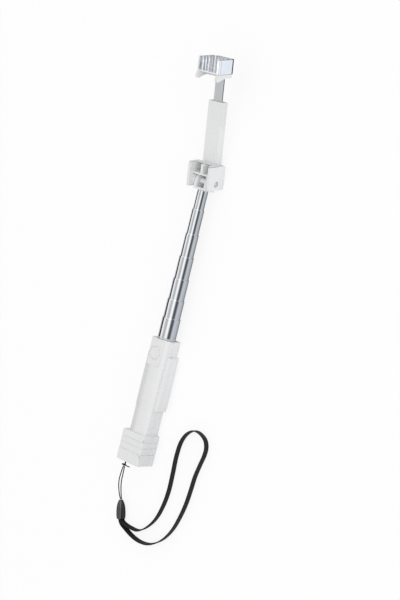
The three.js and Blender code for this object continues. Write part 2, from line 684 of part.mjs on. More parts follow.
// The channel in the spine that the strip slides in, open behind for its cover.
function spinePocket() {
  const pocketHalfWidth = SPINE_HALF_WIDTH - SPINE_SIDE_WALL;
  const pocket = box([-pocketHalfWidth, pocketHalfWidth], [POCKET_BOTTOM, LIP_BOTTOM],
    [-HEAD_HALF_DEPTH - THROUGH, POCKET_FRONT]);
  const slot = box(
    [-STRIP_HALF_WIDTH - STRIP_CLEARANCE, STRIP_HALF_WIDTH + STRIP_CLEARANCE],
    [LIP_BOTTOM - THROUGH, SPINE_TOP + THROUGH],
    [STRIP_FRONT - STRIP_THICKNESS - STRIP_CLEARANCE, STRIP_FRONT + STRIP_CLEARANCE],
  );
  return join(pocket, slot);
}

function addSeatPad(head) {
  const bottom = SEAT_WALL_TOP + CLEAR_GAP;
  const half = HEAD_HALF_WIDTH - SEAT_PAD_MARGIN;
  const innerHalf = HEAD_INNER - SEAT_PAD_MARGIN;
  const full = box([-half, half], [bottom, SEAT_HEIGHT],
    [SPINE_FRONT + CLEAR_GAP, HEAD_HALF_DEPTH - SEAT_PAD_MARGIN]);
  const gap = box([-innerHalf, innerHalf], [bottom - THROUGH, SEAT_HEIGHT + THROUGH],
    [SEAT_PAD_BRIDGE, HEAD_HALF_DEPTH]);
  piece(head, 'seat_pad', cut(full, gap), materials.pad);
}

const coverSpan = () => [POCKET_BOTTOM + COVER_CLEARANCE, LIP_BOTTOM - COVER_CLEARANCE];
const coverScrewPlaces = () => {
  const [from, to] = coverSpan();
  return [from + COVER_SCREW_INSET, to - COVER_SCREW_INSET];
};

function coverScrew(y, gap = 0) {
  const face = COVER_BACK + COVER_SCREW.sink;
  const neck = face + COVER_SCREW.head;
  return join(
    rod('z', SCREW_HEAD_RADIUS + gap, face - (gap ? THROUGH : 0), neck + gap, [0, y, 0]),
    rod('z', SCREW_RADIUS + gap, neck - SNUG_GAP, COVER_BACK + COVER_SCREW.length + gap,
      [0, y, 0]),
  );
}

function addSpine(head) {
  const halfWidth = SPINE_HALF_WIDTH - SPINE_SIDE_WALL - COVER_CLEARANCE;
  const holes = coverScrewPlaces().map((y) => coverScrew(y, SCREW_CLEARANCE));
  const cover = cut(
    box([-halfWidth, halfWidth], coverSpan(), [COVER_BACK, COVER_BACK + COVER_THICKNESS]),
    ...holes,
  );
  piece(head, 'spine_cover', cover, materials.whitePlastic);
  coverScrewPlaces().forEach((y, i) => {
    piece(head, `cover_screw_${i + 1}`, coverScrew(y), materials.steel);
  });

  const room = [COVER_BACK + COVER_THICKNESS + 3 * SNUG_GAP,
    STRIP_FRONT - STRIP_THICKNESS - 2 * SNUG_GAP];
  const bow = new THREE.Shape();
  const from = LIP_BOTTOM - SPRING.below - SPRING.length;
  const to = LIP_BOTTOM - SPRING.below;
  const { leaf, halfWidth: springHalf } = SPRING;
  bow.moveTo(room[0], from);
  bow.quadraticCurveTo(2 * (room[1] - leaf) - room[0], (from + to) / 2, room[0], to);
  bow.lineTo(room[0] + leaf, to);
  bow.quadraticCurveTo(2 * room[1] - room[0] - leaf, (from + to) / 2, room[0] + leaf, from);
  piece(head, 'friction_spring', acrossStick(bow, -springHalf, springHalf, HALF_ROUND),
    materials.steel);
}

// ---------------------------------------------------------------- jaw

// One side of the jaw: a hooked lip in front, then a shallow hollow over the phone's edge.
function hookProfile() {
  const tip = CLAMP_FACE - HOOK_DROP;
  const front = JAW_FRONT + HOOK_REACH;
  const shape = new THREE.Shape();
  shape.moveTo(JAW_BACK, BASE_TOP);
  shape.lineTo(JAW_BACK, CLAMP_FACE);
  shape.quadraticCurveTo(2, CLAMP_FACE + 0.9, JAW_FRONT - 2.6, tip + 0.8);
  shape.quadraticCurveTo(JAW_FRONT - 1.4, tip - 0.1, JAW_FRONT - 0.2, tip);
  shape.quadraticCurveTo(front, tip + 0.6, front, tip + 2.4);
  shape.quadraticCurveTo(front, tip + 4.2, JAW_FRONT, tip + 4.8);
  shape.lineTo(JAW_FRONT, BASE_TOP);
  return shape;
}

function addJawBase(head) {
  const side = (s) =>
    acrossStick(hookProfile(), ...across(s, JAW_HALF_WIDTH - JAW_SIDE_WALL, JAW_HALF_WIDTH));
  const inner = JAW_HALF_WIDTH - JAW_SIDE_WALL;
  const webSpan = [JAW_PAD_TOP + 2 * SNUG_GAP, BASE_TOP];
  const web = box([-inner - SNUG_GAP, inner + SNUG_GAP], webSpan,
    [STRIP_FRONT - STRIP_THICKNESS - JAW_WEB_BEHIND_STRIP, JAW_WEB_FRONT]);
  const rib = box([-JAW_RIB_HALF_WIDTH, JAW_RIB_HALF_WIDTH], webSpan,
    [JAW_WEB_FRONT - THROUGH, JAW_RIB_FRONT]);
  const snug = 2 * SNUG_GAP;
  const strip = box([-STRIP_HALF_WIDTH - snug, STRIP_HALF_WIDTH + snug],
    [CLAMP_FACE - THROUGH, CLAMP_FACE + STRIP_IN_JAW + snug],
    [STRIP_FRONT - STRIP_THICKNESS - snug, STRIP_FRONT + snug]);
  piece(head, 'jaw_base', cut(join(pair(side), web, rib), strip), materials.whitePlastic);

  const padHalf = inner - JAW_PAD_MARGIN;
  const pad = box([-padHalf, padHalf], [CLAMP_FACE, JAW_PAD_TOP],
    [STRIP_FRONT + JAW_PAD_MARGIN, JAW_WEB_FRONT - JAW_PAD_MARGIN]);
  piece(head, 'jaw_pad', pad, materials.pad);
}

// The bright outer shell: a channel open at the top and in front, with rounded back corners.
function addJawShell(head) {
  const channel = (inset, back, front) => {
    const half = JAW_HALF_WIDTH - inset;
    const corner = SHELL_BACK_CORNER - inset;
    const shape = new THREE.Shape();
    shape.moveTo(half, front);
    shape.lineTo(-half, front);
    shape.absarc(-half + corner, back + corner, corner, Math.PI, 1.5 * Math.PI);
    shape.absarc(half - corner, back + corner, corner, 1.5 * Math.PI, 2 * Math.PI);
    return shape;
  };
  const outside = alongStick(channel(0, SHELL_BACK, JAW_FRONT), JAW_SPLIT, SHELL_TOP);
  const inside = alongStick(channel(SHELL_WALL, SHELL_BACK + SHELL_WALL, JAW_FRONT + THROUGH),
    JAW_SPLIT + SHELL_FLOOR, SHELL_TOP + THROUGH);
  piece(head, 'jaw_shell', cut(outside, inside), materials.chrome);
}

function addJawStrip(head) {
  const span = [STRIP_FRONT - STRIP_THICKNESS, STRIP_FRONT];
  const strip = cut(
    box([-STRIP_HALF_WIDTH, STRIP_HALF_WIDTH], [STRIP_BOTTOM, CLAMP_FACE + STRIP_IN_JAW], span),
    rod('z', STOP_PIN_RADIUS + PIN_CLEARANCE, span[0] - THROUGH, span[1] + THROUGH,
      [0, STOP_PIN_Y, 0]),
  );
  piece(head, 'slide_strip', strip, materials.steel);
  const pin = rod('z', STOP_PIN_RADIUS, span[0] + SNUG_GAP, POCKET_FRONT - 3 * SNUG_GAP,
    [0, STOP_PIN_Y, 0]);
  piece(head, 'stop_pin', pin, materials.steel);
}

function addHead(stick) {
  const head = new THREE.Group();
  head.position.set(0, PIN_Y, 0);
  head.rotation.x = THREE.MathUtils.degToRad(HEAD_TILT_DEG);
  stick.add(head);
  piece(head, 'head_frame', headFrame(), materials.whitePlastic);
  addSeatPad(head);
  addSpine(head);
  addJawStrip(head);
  addJawBase(head);
  addJawShell(head);
}

// ---------------------------------------------------------------- wrist strap

// The strap is a flat band standing on its edge, so it is a closed outline drawn upwards.
function strapBand(surface) {
  const path = new THREE.CatmullRomCurve3(
    STRAP_POINTS.map(([x, y]) => new THREE.Vector3(x, y, 0)), false, 'centripetal',
  );
  const left = [];
  const right = [];
  for (let i = 0; i <= STRAP_STEPS; i += 1) {
    const point = path.getPointAt(i / STRAP_STEPS);
    const along = path.getTangentAt(i / STRAP_STEPS);
    const side = new THREE.Vector2(-along.y, along.x).multiplyScalar(STRAP_THICKNESS / 2);
    left.push(new THREE.Vector2(point.x, point.y).add(side));
    right.push(new THREE.Vector2(point.x, point.y).sub(side));
  }
  const outline = new THREE.Shape([...right, ...left.reverse()]);
  return upwards(outline, surface, surface + STRAP_WIDTH);
}

// The string leaves its knot in two strands, side by side, that both end in the slider.
function stringStrand(side) {
  const points = STRING_POINTS.map(([x, y, z], i) => {
    const bow = STRAND_BOW * Math.sin((Math.PI * i) / (STRING_POINTS.length - 1));
    const apart = side * ((STRING_DIAMETER + STRAND_GAP) / 2 + bow);
    return new THREE.Vector3(x + apart, y, z);
  });
  const path = new THREE.CatmullRomCurve3(points, false, 'centripetal');
  const section = new THREE.Shape();
  for (let i = 0; i < STRING_SIDES; i += 1) {
    const angle = (2 * Math.PI * i) / STRING_SIDES;
    const [x, y] = [Math.cos(angle), Math.sin(angle)].map((v) => (v * STRING_DIAMETER) / 2);
    if (i === 0) section.moveTo(x, y);
    else section.lineTo(x, y);
  }
  return solid(new THREE.ExtrudeGeometry(section, { steps: STRING_STEPS, extrudePath: path }));
}

// A bullet-shaped bead, fattest near the strap, that slides along the string.
function sliderBead(surface) {
  const profile = SLIDER_PROFILE.map(
    ([r, y]) => new THREE.Vector2(r * SLIDER_RADIUS, y * SLIDER_LENGTH),
  );
  const geometry = new THREE.LatheGeometry(profile, ROUND);
  const heading = new THREE.Vector3(...SLIDER_DIRECTION, 0).normalize();
  geometry.applyQuaternion(
    new THREE.Quaternion().setFromUnitVectors(new THREE.Vector3(0, 1, 0), heading),
  );
  geometry.translate(...SLIDER_TIP, surface + SLIDER_RADIUS);
  return solid(geometry);
}

// The knot, with its cut end to one side and the loop that goes up to the bar in the eye.
function stringKnot() {
  const ball = new THREE.SphereGeometry(1, SMALL_ROUND, SMALL_ROUND);
  ball.scale(KNOT.halfWidth, KNOT.halfLength, KNOT.halfHeight);
  ball.translate(KNOT.x, KNOT.y, LANYARD_Z);
  const tail = rod('x', STRING_DIAMETER / 2, KNOT.x, KNOT.x + KNOT_TAIL, [0, KNOT.y, LANYARD_Z]);
  const loop = box([LANYARD_X - STRING_DIAMETER, LANYARD_X + STRING_DIAMETER],
    [KNOT.y, EYE_DEPTH / 2 - BAR_RADIUS - CLEAR_GAP],
    [LANYARD_Z - STRING_DIAMETER / 2, LANYARD_Z + STRING_DIAMETER / 2]);
  return join(solid(ball), tail, loop);
}

function addLanyard(stick, surface) {
  const barHalf = EYE_HALF_WIDTH - 2 * SNUG_GAP;
  const bar = rod('x', BAR_RADIUS, LANYARD_X - barHalf, LANYARD_X + barHalf,
    [0, EYE_DEPTH / 2, LANYARD_Z]);
  piece(stick, 'lanyard_bar', bar, materials.steel);
  piece(stick, 'string_knot', stringKnot(), materials.strap);
  piece(stick, 'string_left', stringStrand(-1), materials.strap);
  piece(stick, 'string_right', stringStrand(1), materials.strap);
  piece(stick, 'strap_slider', sliderBead(surface), materials.blackPlastic);
  piece(stick, 'wrist_strap', strapBand(surface), materials.strap);
}

// ---------------------------------------------------------------- whole object

const selfieStick = new THREE.Group();
selfieStick.name = 'selfie_stick';
const stick = new THREE.Group();
selfieStick.add(stick);
addGrip(stick);
addButton(stick);
addElectronics(stick);
addTubes(stick);
addHinge(stick);
addHead(stick);

// The stick lies on its lowest point, with the middle of its plan over the origin.
const extent = new THREE.Box3().setFromObject(stick, true);
const middle = extent.getCenter(new THREE.Vector3());
addLanyard(stick, extent.min.z + SOFT_REST);
stick.position.set(-middle.x, -middle.y, -extent.min.z);

export default selfieStick;
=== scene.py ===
"""A telescopic selfie stick lying on its back, with its wrist strap beside it.

Lengths below are in millimetres and become metres where geometry is made. The stick's own
coordinates are x across it, y up it from the foot of its end block, and z above its axis. The
head has coordinates of its own about the hinge pin: x across, y up it and z towards its front.
"""

import json
import math

import bmesh
import bpy
from mathutils import Matrix, Vector


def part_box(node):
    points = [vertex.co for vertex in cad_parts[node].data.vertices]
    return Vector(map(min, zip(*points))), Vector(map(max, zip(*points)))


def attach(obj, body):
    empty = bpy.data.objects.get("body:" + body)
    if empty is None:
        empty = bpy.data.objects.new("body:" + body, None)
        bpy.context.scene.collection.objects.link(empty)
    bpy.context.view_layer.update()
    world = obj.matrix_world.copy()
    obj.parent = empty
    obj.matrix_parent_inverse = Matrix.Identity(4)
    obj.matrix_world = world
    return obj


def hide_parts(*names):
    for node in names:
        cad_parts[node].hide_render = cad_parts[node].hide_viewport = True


MM = 0.001

# ------------------------------------------------------------------ frame

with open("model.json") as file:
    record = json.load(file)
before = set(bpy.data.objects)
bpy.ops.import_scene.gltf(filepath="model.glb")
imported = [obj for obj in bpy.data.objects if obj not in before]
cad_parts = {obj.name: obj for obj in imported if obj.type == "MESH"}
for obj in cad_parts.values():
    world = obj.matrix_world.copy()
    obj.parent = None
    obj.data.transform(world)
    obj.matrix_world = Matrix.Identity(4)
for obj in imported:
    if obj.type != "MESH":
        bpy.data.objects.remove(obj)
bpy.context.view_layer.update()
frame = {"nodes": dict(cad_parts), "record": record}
nodes = frame["nodes"]
bodies = frame["record"]["behaviour"]["bodies"]
node_body = {node: body for body, names in bodies.items() for node in names}
node_slot = {part["node"]: part["material_slot"] for part in frame["record"]["subparts"]}


def middle(node):
    """The middle of a CAD node's box, in metres."""
    low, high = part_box(node)
    return (low + high) / 2


# The stick's own frame and the head's, and the height of what the lanyard lies on, in metres.
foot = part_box("front_shell")[0].y
axis_height = middle("tube_1").z
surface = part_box("wrist_strap")[0].z
STICK = Matrix.Translation((0, foot, axis_height))
HEAD_TILT = math.radians(12)
HEAD = Matrix.Translation(middle("hinge_pin")) @ Matrix.Rotation(HEAD_TILT, 4, "X")

# ------------------------------------------------------------------ sizes

GRIP_TOP = 107
TUBE_WALL = 0.3
LIP_LENGTH = 0.9
LIP_DEPTH = 0.42
LIP_FACE = 0.12
LIP_SUPPORT = 3

BUTTON_RADIUS = 5.15
BUTTON_FLANGE = 0.75
BUTTON_FLANGE_THICKNESS = 0.38
BUTTON_FILLET = 0.35
BUTTON_RIM = 0.35
BUTTON_DISH = 0.3

JAW_HALF_WIDTH = 11.7
JAW_SPLIT = 90
JAW_FRONT = 10.5
SHELL_TOP = 101.7
SHELL_BACK = -8.7
SHELL_WALL = 1.3
SHELL_FLOOR = 1
SHELL_BACK_CORNER = 4
SHELL_GROOVE_DEPTH = 0.3
SHELL_GROOVE = (7.9, 8.5)
SHELL_GROOVE_SPAN = (JAW_SPLIT + 1, SHELL_TOP - 1.2)
SHELL_RIB_RADIUS = 0.75
SHELL_RIB_SPAN = (JAW_SPLIT + 0.3, SHELL_TOP - 0.5)
SHELL_RIBS_ALONG = (-1.5, 2, 5.5)
SHELL_RIBS_ACROSS = (-6, -2, 2, 6)

LANYARD_X = -4.2
LANYARD_Z = 8.2
EYE_HALF_WIDTH = 2.2
EYE_HALF_HEIGHT = 2
EYE_DEPTH = 4.4
BAR_RADIUS = 0.6
KNOT_X = -5.1
KNOT_Y = -4.1
KNOT_HALF_WIDTH = 2.4
KNOT_HALF_LENGTH = 1.0
KNOT_HALF_HEIGHT = 1.1
KNOT_TAIL = 6.3
KNOT_STRING = 0.9
BAR_WRAP = BAR_RADIUS + KNOT_STRING / 2 + 0.05
STRING_DIAMETER = 0.95
STRING_PLIES = 3
STRING_LOBE = 0.12
STRING_LAY = 3.2
STRAND_GAP = 0.3
STRAND_BOW = 0.8
SLIDER_TIP = (-11.3, -37.7)
SLIDER_DIRECTION = (0.31, -0.951)
SLIDER_RADIUS = 3.92
SLIDER_LENGTH = 16.2
STRAP_WIDTH = 5
STRAP_THICKNESS = 1.1
STRAP_RISE_LENGTH = 12
STRAP_TUCK = 1.5
STRAP_LEAN = 0.22
STRAP_LEAN_FROM = -10
STRAP_LEAN_SPAN = 30

# The string's route from the knot down to the slider, half way between its two strands.
STRING_POINTS = [
    (-4.8, -5.4, 8.2),
    (-5.8, -8.5, 7.3),
    (-8, -13.5, 4.9),
    (-10.9, -19.5, 1.6),
    (-13, -25.2, -1.8),
    (-13.6, -30.9, -4.5),
    (-12.8, -34.9, -5.6),
    (-11.45, -37.4, -5.75),
]

# The strap's path on the surface, from the slider out, round and back to it.
STRAP_POINTS = [
    (-5.3, -53.5),
    (-3.6, -54.6),
    (-0.2, -55.9),
    (5.4, -56.6),
    (14, -55.9),
    (21.6, -50.8),
    (29.4, -40.6),
    (33.8, -28),
    (35.9, -13.7),
    (35.6, 2),
    (34.9, 16.5),
    (36, 29.2),
    (39.6, 37.2),
    (44.6, 41.8),
    (49.5, 43.2),
    (55.2, 42.2),
    (60.6, 38.9),
    (63.2, 33.5),
    (63.2, 27.4),
    (61.2, 18),
    (59.2, 7.5),
    (58.3, -4.5),
    (57, -16.8),
    (54.2, -29.5),
    (50, -41.6),
    (43.4, -52),
    (35.6, -58.9),
    (27.6, -62.8),
    (18, -63.9),
    (8.6, -62.4),
    (0.6, -59.4),
    (-4.2, -56.6),
    (-6.8, -54),
]

# ------------------------------------------------------------------ camera

camera = bpy.data.objects.new("camera", bpy.data.cameras.new("camera"))
bpy.context.scene.collection.objects.link(camera)
camera.data.lens = 98.07
camera.data.sensor_width = 36
right = Vector((0.72503, 0.23894, -0.64594))
up = Vector((-0.26754, 0.96194, 0.05553))
back = Vector((0.63462, 0.13256, 0.76137))
camera.matrix_world = Matrix.Translation((0.87007, 0.15281, 1.02361)) @ Matrix(
    (right, up, back)
).transposed().to_4x4()
bpy.context.scene.camera = camera

# ------------------------------------------------------------------ light and floor

FLOOR_COLOUR = (0.93, 0.93, 0.93, 1)
FLOOR_HALF_SIZE = 6
FLOOR_GLOW = 1.05
FLOOR_GLOW_SHARE = 0.82
BACKDROP = (0.975, 0.975, 0.975, 1)
SOFT_LEFT = 0.66
SOFT_RIGHT = 0.9

# The dome as bright metal sees it: the angle about the stick from straight up towards +X, in
# degrees, and the brightness there. Softboxes alternate with dark flags, as for any chrome.
DOME_BANDS = [
    (-90, 0.03),
    (-63, 0.03),
    (-56, 0.6),
    (-50, 1.02),
    (-38, 1.02),
    (-27, 0.66),
    (-14, 0.54),
    (-1, 0.52),
    (9, 0.75),
    (16, 1.1),
    (35, 1.02),
    (42, 0.55),
    (48, 0.2),
    (56, 0.1),
    (72, 0.08),
    (81, 0.25),
    (90, 0.5),
]
DARK_BAND = 0.4
DARK_BAND_BLUE = 0.22
# Bright metal also sees more light from beyond the stick's upper end.
END_CARD = 1.3
END_CARD_FROM = 0.2

# The floor as bright metal sees it, a painted reflection rather than the lit floor: the distance
# from the stick's line, in millimetres, and the brightness there. It is dim under the stick, a
# painted shadow where the stick shades it. From two places up the stick, in metres, other painted
# brightnesses take over beside the head and the jaw, with the deepest painted shadow under the jaw.
PAINTED_SHADOW_REACH = 100
PAINTED_SHADOW_BLUE = 0.12
FLOOR_PAINTED_SHADOW = [(0, 0.1), (5, 0.2), (9, 0.36), (14, 0.5), (28, 0.56), (45, 0.62), (100, 0.55)]
HEAD_PAINTED_SHADOW = [(0, 0.1), (13, 0.5), (17, 1), (100, 1)]
HEAD_PAINTED_SHADOW_FROM = 0.063
JAW_PAINTED_SHADOW = [(0, 0.02), (27, 0.03), (31, 0.9), (60, 1), (100, 0.9)]
JAW_PAINTED_SHADOW_FROM = 0.115


def link(tree, source, target):
    tree.links.new(source, target)


def add_node(tree, kind, **inputs):
    """A node of that kind with the given values on its input sockets."""
    made = tree.nodes.new(kind)
    for name, value in inputs.items():
        made.inputs[name.replace("_", " ")].default_value = value
    return made


def maths(tree, operation, *values):
    """A Math node's output; each value is a number or a socket."""
    made = tree.nodes.new("ShaderNodeMath")
    made.operation = operation
    for socket, value in zip(made.inputs, values):
        if isinstance(value, bpy.types.NodeSocket):
            link(tree, value, socket)
        else:
            socket.default_value = value
    return made.outputs[0]


def ramp(tree, factor, stops):
    """A colour ramp's output, from (position, colour) stops."""
    made = tree.nodes.new("ShaderNodeValToRGB")
    elements = made.color_ramp.elements
    while len(elements) < len(stops):
        elements.new(0.5)
    for element, (position, colour) in zip(elements, stops):
        element.position = position
        element.color = colour
    link(tree, factor, made.inputs["Fac"])
    return made.outputs["Color"]


def grey(value, blue=0.0):
    """A grey, with its blue raised by that share."""
    return (value, value * (1 + 0.4 * blue), value * (1 + blue), 1)


def make_dome():
    """Even light for everything, except that bright metal sees softboxes and flags."""
    world = bpy.data.worlds.new("studio")
    world.use_nodes = True
    bpy.context.scene.world = world
    tree = world.node_tree
    tree.nodes.clear()
    coordinates = tree.nodes.new("ShaderNodeTexCoord")
    direction = tree.nodes.new("ShaderNodeSeparateXYZ")
    link(tree, coordinates.outputs["Generated"], direction.inputs[0])
    x, y, z = direction.outputs
    angle = maths(tree, "ARCTAN2", x, z)
    share = maths(tree, "ADD", maths(tree, "DIVIDE", angle, math.pi), 0.5)
    stops = [
        ((degrees + 90) / 180, grey(value, DARK_BAND_BLUE if value < DARK_BAND else 0))
        for degrees, value in DOME_BANDS
    ]
    bands = ramp(tree, share, stops)
    from_right = maths(tree, "MULTIPLY_ADD", x, 0.5, 0.5)
    soft = ramp(tree, from_right, [(0, grey(SOFT_LEFT)), (1, grey(SOFT_RIGHT))])
    path = tree.nodes.new("ShaderNodeLightPath")
    glossy = tree.nodes.new("ShaderNodeMixRGB")
    link(tree, path.outputs["Is Glossy Ray"], glossy.inputs["Fac"])
    link(tree, soft, glossy.inputs["Color1"])
    link(tree, bands, glossy.inputs["Color2"])
    seen = tree.nodes.new("ShaderNodeMixRGB")
    link(tree, path.outputs["Is Camera Ray"], seen.inputs["Fac"])
    link(tree, glossy.outputs[0], seen.inputs["Color1"])
    seen.inputs["Color2"].default_value = BACKDROP
    background = tree.nodes.new("ShaderNodeBackground")
    link(tree, seen.outputs[0], background.inputs["Color"])
    ahead = maths(tree, "SUBTRACT", y, END_CARD_FROM)
    ahead = maths(tree, "MULTIPLY", maths(tree, "MAXIMUM", ahead, 0), path.outputs["Is Glossy Ray"])
    link(tree, maths(tree, "MULTIPLY_ADD", ahead, END_CARD, 1), background.inputs["Strength"])
    output = tree.nodes.new("ShaderNodeOutputWorld")
    link(tree, background.outputs[0], output.inputs["Surface"])


def make_softbox(name, place, size, power):
    """A square area light aimed at the origin, which doesn't show as a shape in reflections."""
    lamp = bpy.data.lights.new(name, "AREA")
    lamp.size = size
    lamp.energy = power
    holder = bpy.data.objects.new(name, lamp)
    bpy.context.scene.collection.objects.link(holder)
    holder.location = place
    holder.rotation_mode = "QUATERNION"
    holder.rotation_quaternion = (-Vector(place)).to_track_quat("-Z", "Y")
    holder.visible_glossy = False


def painted_shadow_ramp(tree, reach, stops):
    """The floor's painted brightness to bright metal, dim in a painted shadow near the stick's
    line, by the distance from that line.
    """
    colours = [(at / PAINTED_SHADOW_REACH, grey(value, PAINTED_SHADOW_BLUE)) for at, value in stops]
    return ramp(tree, reach, colours)


def make_floor():
    """A plain pale floor, evened out for the camera, and with a painted glow that only bright metal
    sees: a painted reflection with a painted shadow under the stick.
    """
    mesh = bpy.data.meshes.new("floor")
    s = FLOOR_HALF_SIZE
    mesh.from_pydata([(-s, -s, 0), (s, -s, 0), (s, s, 0), (-s, s, 0)], [], [(0, 1, 2, 3)])
    floor = bpy.data.objects.new("floor", mesh)
    bpy.context.scene.collection.objects.link(floor)
    material = bpy.data.materials.new("floor")
    material.use_nodes = True
    tree = material.node_tree
    tree.nodes.clear()
    diffuse = add_node(tree, "ShaderNodeBsdfDiffuse", Color=FLOOR_COLOUR)
    glow = add_node(tree, "ShaderNodeEmission", Color=BACKDROP, Strength=FLOOR_GLOW)
    path = tree.nodes.new("ShaderNodeLightPath")
    share = maths(tree, "MULTIPLY", path.outputs["Is Camera Ray"], FLOOR_GLOW_SHARE)
    mix = tree.nodes.new("ShaderNodeMixShader")
    link(tree, share, mix.inputs["Fac"])
    link(tree, diffuse.outputs[0], mix.inputs[1])
    link(tree, glow.outputs[0], mix.inputs[2])
    place = tree.nodes.new("ShaderNodeTexCoord")
    split = tree.nodes.new("ShaderNodeSeparateXYZ")
    link(tree, place.outputs["Object"], split.inputs[0])
    x, y, _ = split.outputs
    reach = maths(tree, "DIVIDE", maths(tree, "ABSOLUTE", x), PAINTED_SHADOW_REACH * MM)
    seen = painted_shadow_ramp(tree, reach, FLOOR_PAINTED_SHADOW)
    for start, stops in ((HEAD_PAINTED_SHADOW_FROM, HEAD_PAINTED_SHADOW), (JAW_PAINTED_SHADOW_FROM, JAW_PAINTED_SHADOW)):
        chosen = tree.nodes.new("ShaderNodeMixRGB")
        link(tree, maths(tree, "GREATER_THAN", y, start), chosen.inputs["Fac"])
        link(tree, seen, chosen.inputs["Color1"])
        link(tree, painted_shadow_ramp(tree, reach, stops), chosen.inputs["Color2"])
        seen = chosen.outputs[0]
    # Bright metal sees this painted glow instead of the lit floor: a painted reflection, with
    # painted shadow near the stick's line.
    painted_floor_glow = tree.nodes.new("ShaderNodeEmission")
    link(tree, seen, painted_floor_glow.inputs["Color"])
    reflected = tree.nodes.new("ShaderNodeMixShader")
    link(tree, path.outputs["Is Glossy Ray"], reflected.inputs["Fac"])
    link(tree, mix.outputs[0], reflected.inputs[1])
    link(tree, painted_floor_glow.outputs[0], reflected.inputs[2])
    output = tree.nodes.new("ShaderNodeOutputMaterial")
    link(tree, reflected.outputs[0], output.inputs["Surface"])
    mesh.materials.append(material)


bpy.context.scene.view_settings.view_transform = "Standard"
make_dome()
make_softbox("key_light", (1.3, 0.3, 0.9), size=0.9, power=3.2)
make_softbox("top_light", (-0.3, 0.2, 1.6), size=0.9, power=1.4)
make_floor()

# ------------------------------------------------------------------ materials


def start_material(name, colour, roughness, metallic=0.0):
    """A Principled material: returns it with its tree, shader and object coordinates."""
    material = bpy.data.materials.new(name)
    material.use_nodes = True
    tree = material.node_tree
    shader = tree.nodes["Principled BSDF"]
    shader.inputs["Base Color"].default_value = colour
    shader.inputs["Roughness"].default_value = roughness
    shader.inputs["Metallic"].default_value = metallic
    coordinates = tree.nodes.new("ShaderNodeTexCoord")
    return material, tree, shader, coordinates.outputs["Object"]


def stretched(tree, vector, scale):
    """The coordinates times a scale along each axis."""
    made = add_node(tree, "ShaderNodeMapping", Scale=scale)
    link(tree, vector, made.inputs["Vector"])
    return made.outputs["Vector"]


def noise(tree, vector, scale, detail=3.0, roughness=0.5):
    """A noise texture's value, from 0 to 1."""
    made = add_node(tree, "ShaderNodeTexNoise", Scale=scale, Detail=detail, Roughness=roughness)
    link(tree, vector, made.inputs["Vector"])
    return made.outputs["Fac"]


def spread(tree, factor, low, high):
    """Maps a noise's middle range to values from low to high."""
    made = add_node(tree, "ShaderNodeMapRange", From_Min=0.3, From_Max=0.7, To_Min=low, To_Max=high)
    link(tree, factor, made.inputs["Value"])
    return made.outputs["Result"]


def bump(tree, shader, height, strength, depth):
    """Raises the surface by height times depth, in metres, and adds to any bump before it."""
    made = add_node(tree, "ShaderNodeBump", Strength=strength, Distance=depth)
    link(tree, height, made.inputs["Height"])
    before = shader.inputs["Normal"].links
    if before:
        link(tree, before[0].from_socket, made.inputs["Normal"])
    link(tree, made.outputs["Normal"], shader.inputs["Normal"])


def moulded(name, dark, light, roughness, grain=2600, grain_depth=0.000003):
    """Moulded plastic: a fine spark-eroded grain, faint flow clouding and uneven gloss."""
    material, tree, shader, place = start_material(name, light, roughness)
    clouds = noise(tree, place, 45, 4)
    link(tree, ramp(tree, clouds, [(0.3, dark), (0.7, light)]), shader.inputs["Base Color"])
    gloss = noise(tree, place, 160, 3)
    link(tree, spread(tree, gloss, roughness - 0.03, roughness + 0.04), shader.inputs["Roughness"])
    bump(tree, shader, noise(tree, place, grain, 2), 0.12, grain_depth)
    return material


def bright_metal(name, colour, roughness, stretch, depth):
    """Plated or brushed metal: long drawing lines and smudges."""
    material, tree, shader, place = start_material(name, colour, roughness, 1.0)
    lines = noise(tree, stretched(tree, place, stretch), 1, 4, 0.65)
    smudges = noise(tree, place, 70, 3)
    low = spread(tree, lines, roughness * 0.7, roughness * 1.4)
    extra = maths(tree, "MULTIPLY", spread(tree, smudges, 0, 1), roughness * 0.4)
    link(tree, maths(tree, "ADD", low, extra), shader.inputs["Roughness"])
    tint = tuple(c * 0.93 for c in colour[:3]) + (1,)
    link(tree, ramp(tree, smudges, [(0.35, tint), (0.6, colour)]), shader.inputs["Base Color"])
    bump(tree, shader, lines, 0.3, depth)
    return material


def soft_rubber(name, colour):
    """Matt elastomer with a fine pebble and a little dust."""
    material, tree, shader, place = start_material(name, colour, 0.75)
    pebble = add_node(tree, "ShaderNodeTexVoronoi", Scale=1500)
    link(tree, place, pebble.inputs["Vector"])
    dust = noise(tree, place, 220, 4)
    darker = tuple(c * 0.9 for c in colour[:3]) + (1,)
    link(tree, ramp(tree, dust, [(0.35, darker), (0.65, colour)]), shader.inputs["Base Color"])
    bump(tree, shader, pebble.outputs["Distance"], 0.4, 0.00005)
    shader.inputs["Sheen Weight"].default_value = 0.1
    return material


def solder_mask(name):
    """A green circuit board: tracks under the mask and small bright pads."""
    material, tree, shader, place = start_material(name, (0.02, 0.16, 0.07, 1), 0.35)
    tracks = add_node(
        tree, "ShaderNodeTexBrick", Scale=900, Color1=(0.02, 0.15, 0.07, 1),
        Color2=(0.03, 0.2, 0.09, 1), Mortar=(0.05, 0.3, 0.13, 1), Mortar_Size=0.03,
    )
    link(tree, place, tracks.inputs["Vector"])
    pads = add_node(tree, "ShaderNodeTexVoronoi", Scale=520, Randomness=0.6)
    link(tree, place, pads.inputs["Vector"])
    mask = maths(tree, "LESS_THAN", pads.outputs["Distance"], 0.16)
    mix = tree.nodes.new("ShaderNodeMixRGB")
    link(tree, mask, mix.inputs["Fac"])
    link(tree, tracks.outputs["Color"], mix.inputs["Color1"])
    mix.inputs["Color2"].default_value = (0.75, 0.68, 0.5, 1)
    link(tree, mix.outputs[0], shader.inputs["Base Color"])
    link(tree, mask, shader.inputs["Metallic"])
    bump(tree, shader, tracks.outputs["Fac"], 0.3, 0.00002)
    return material


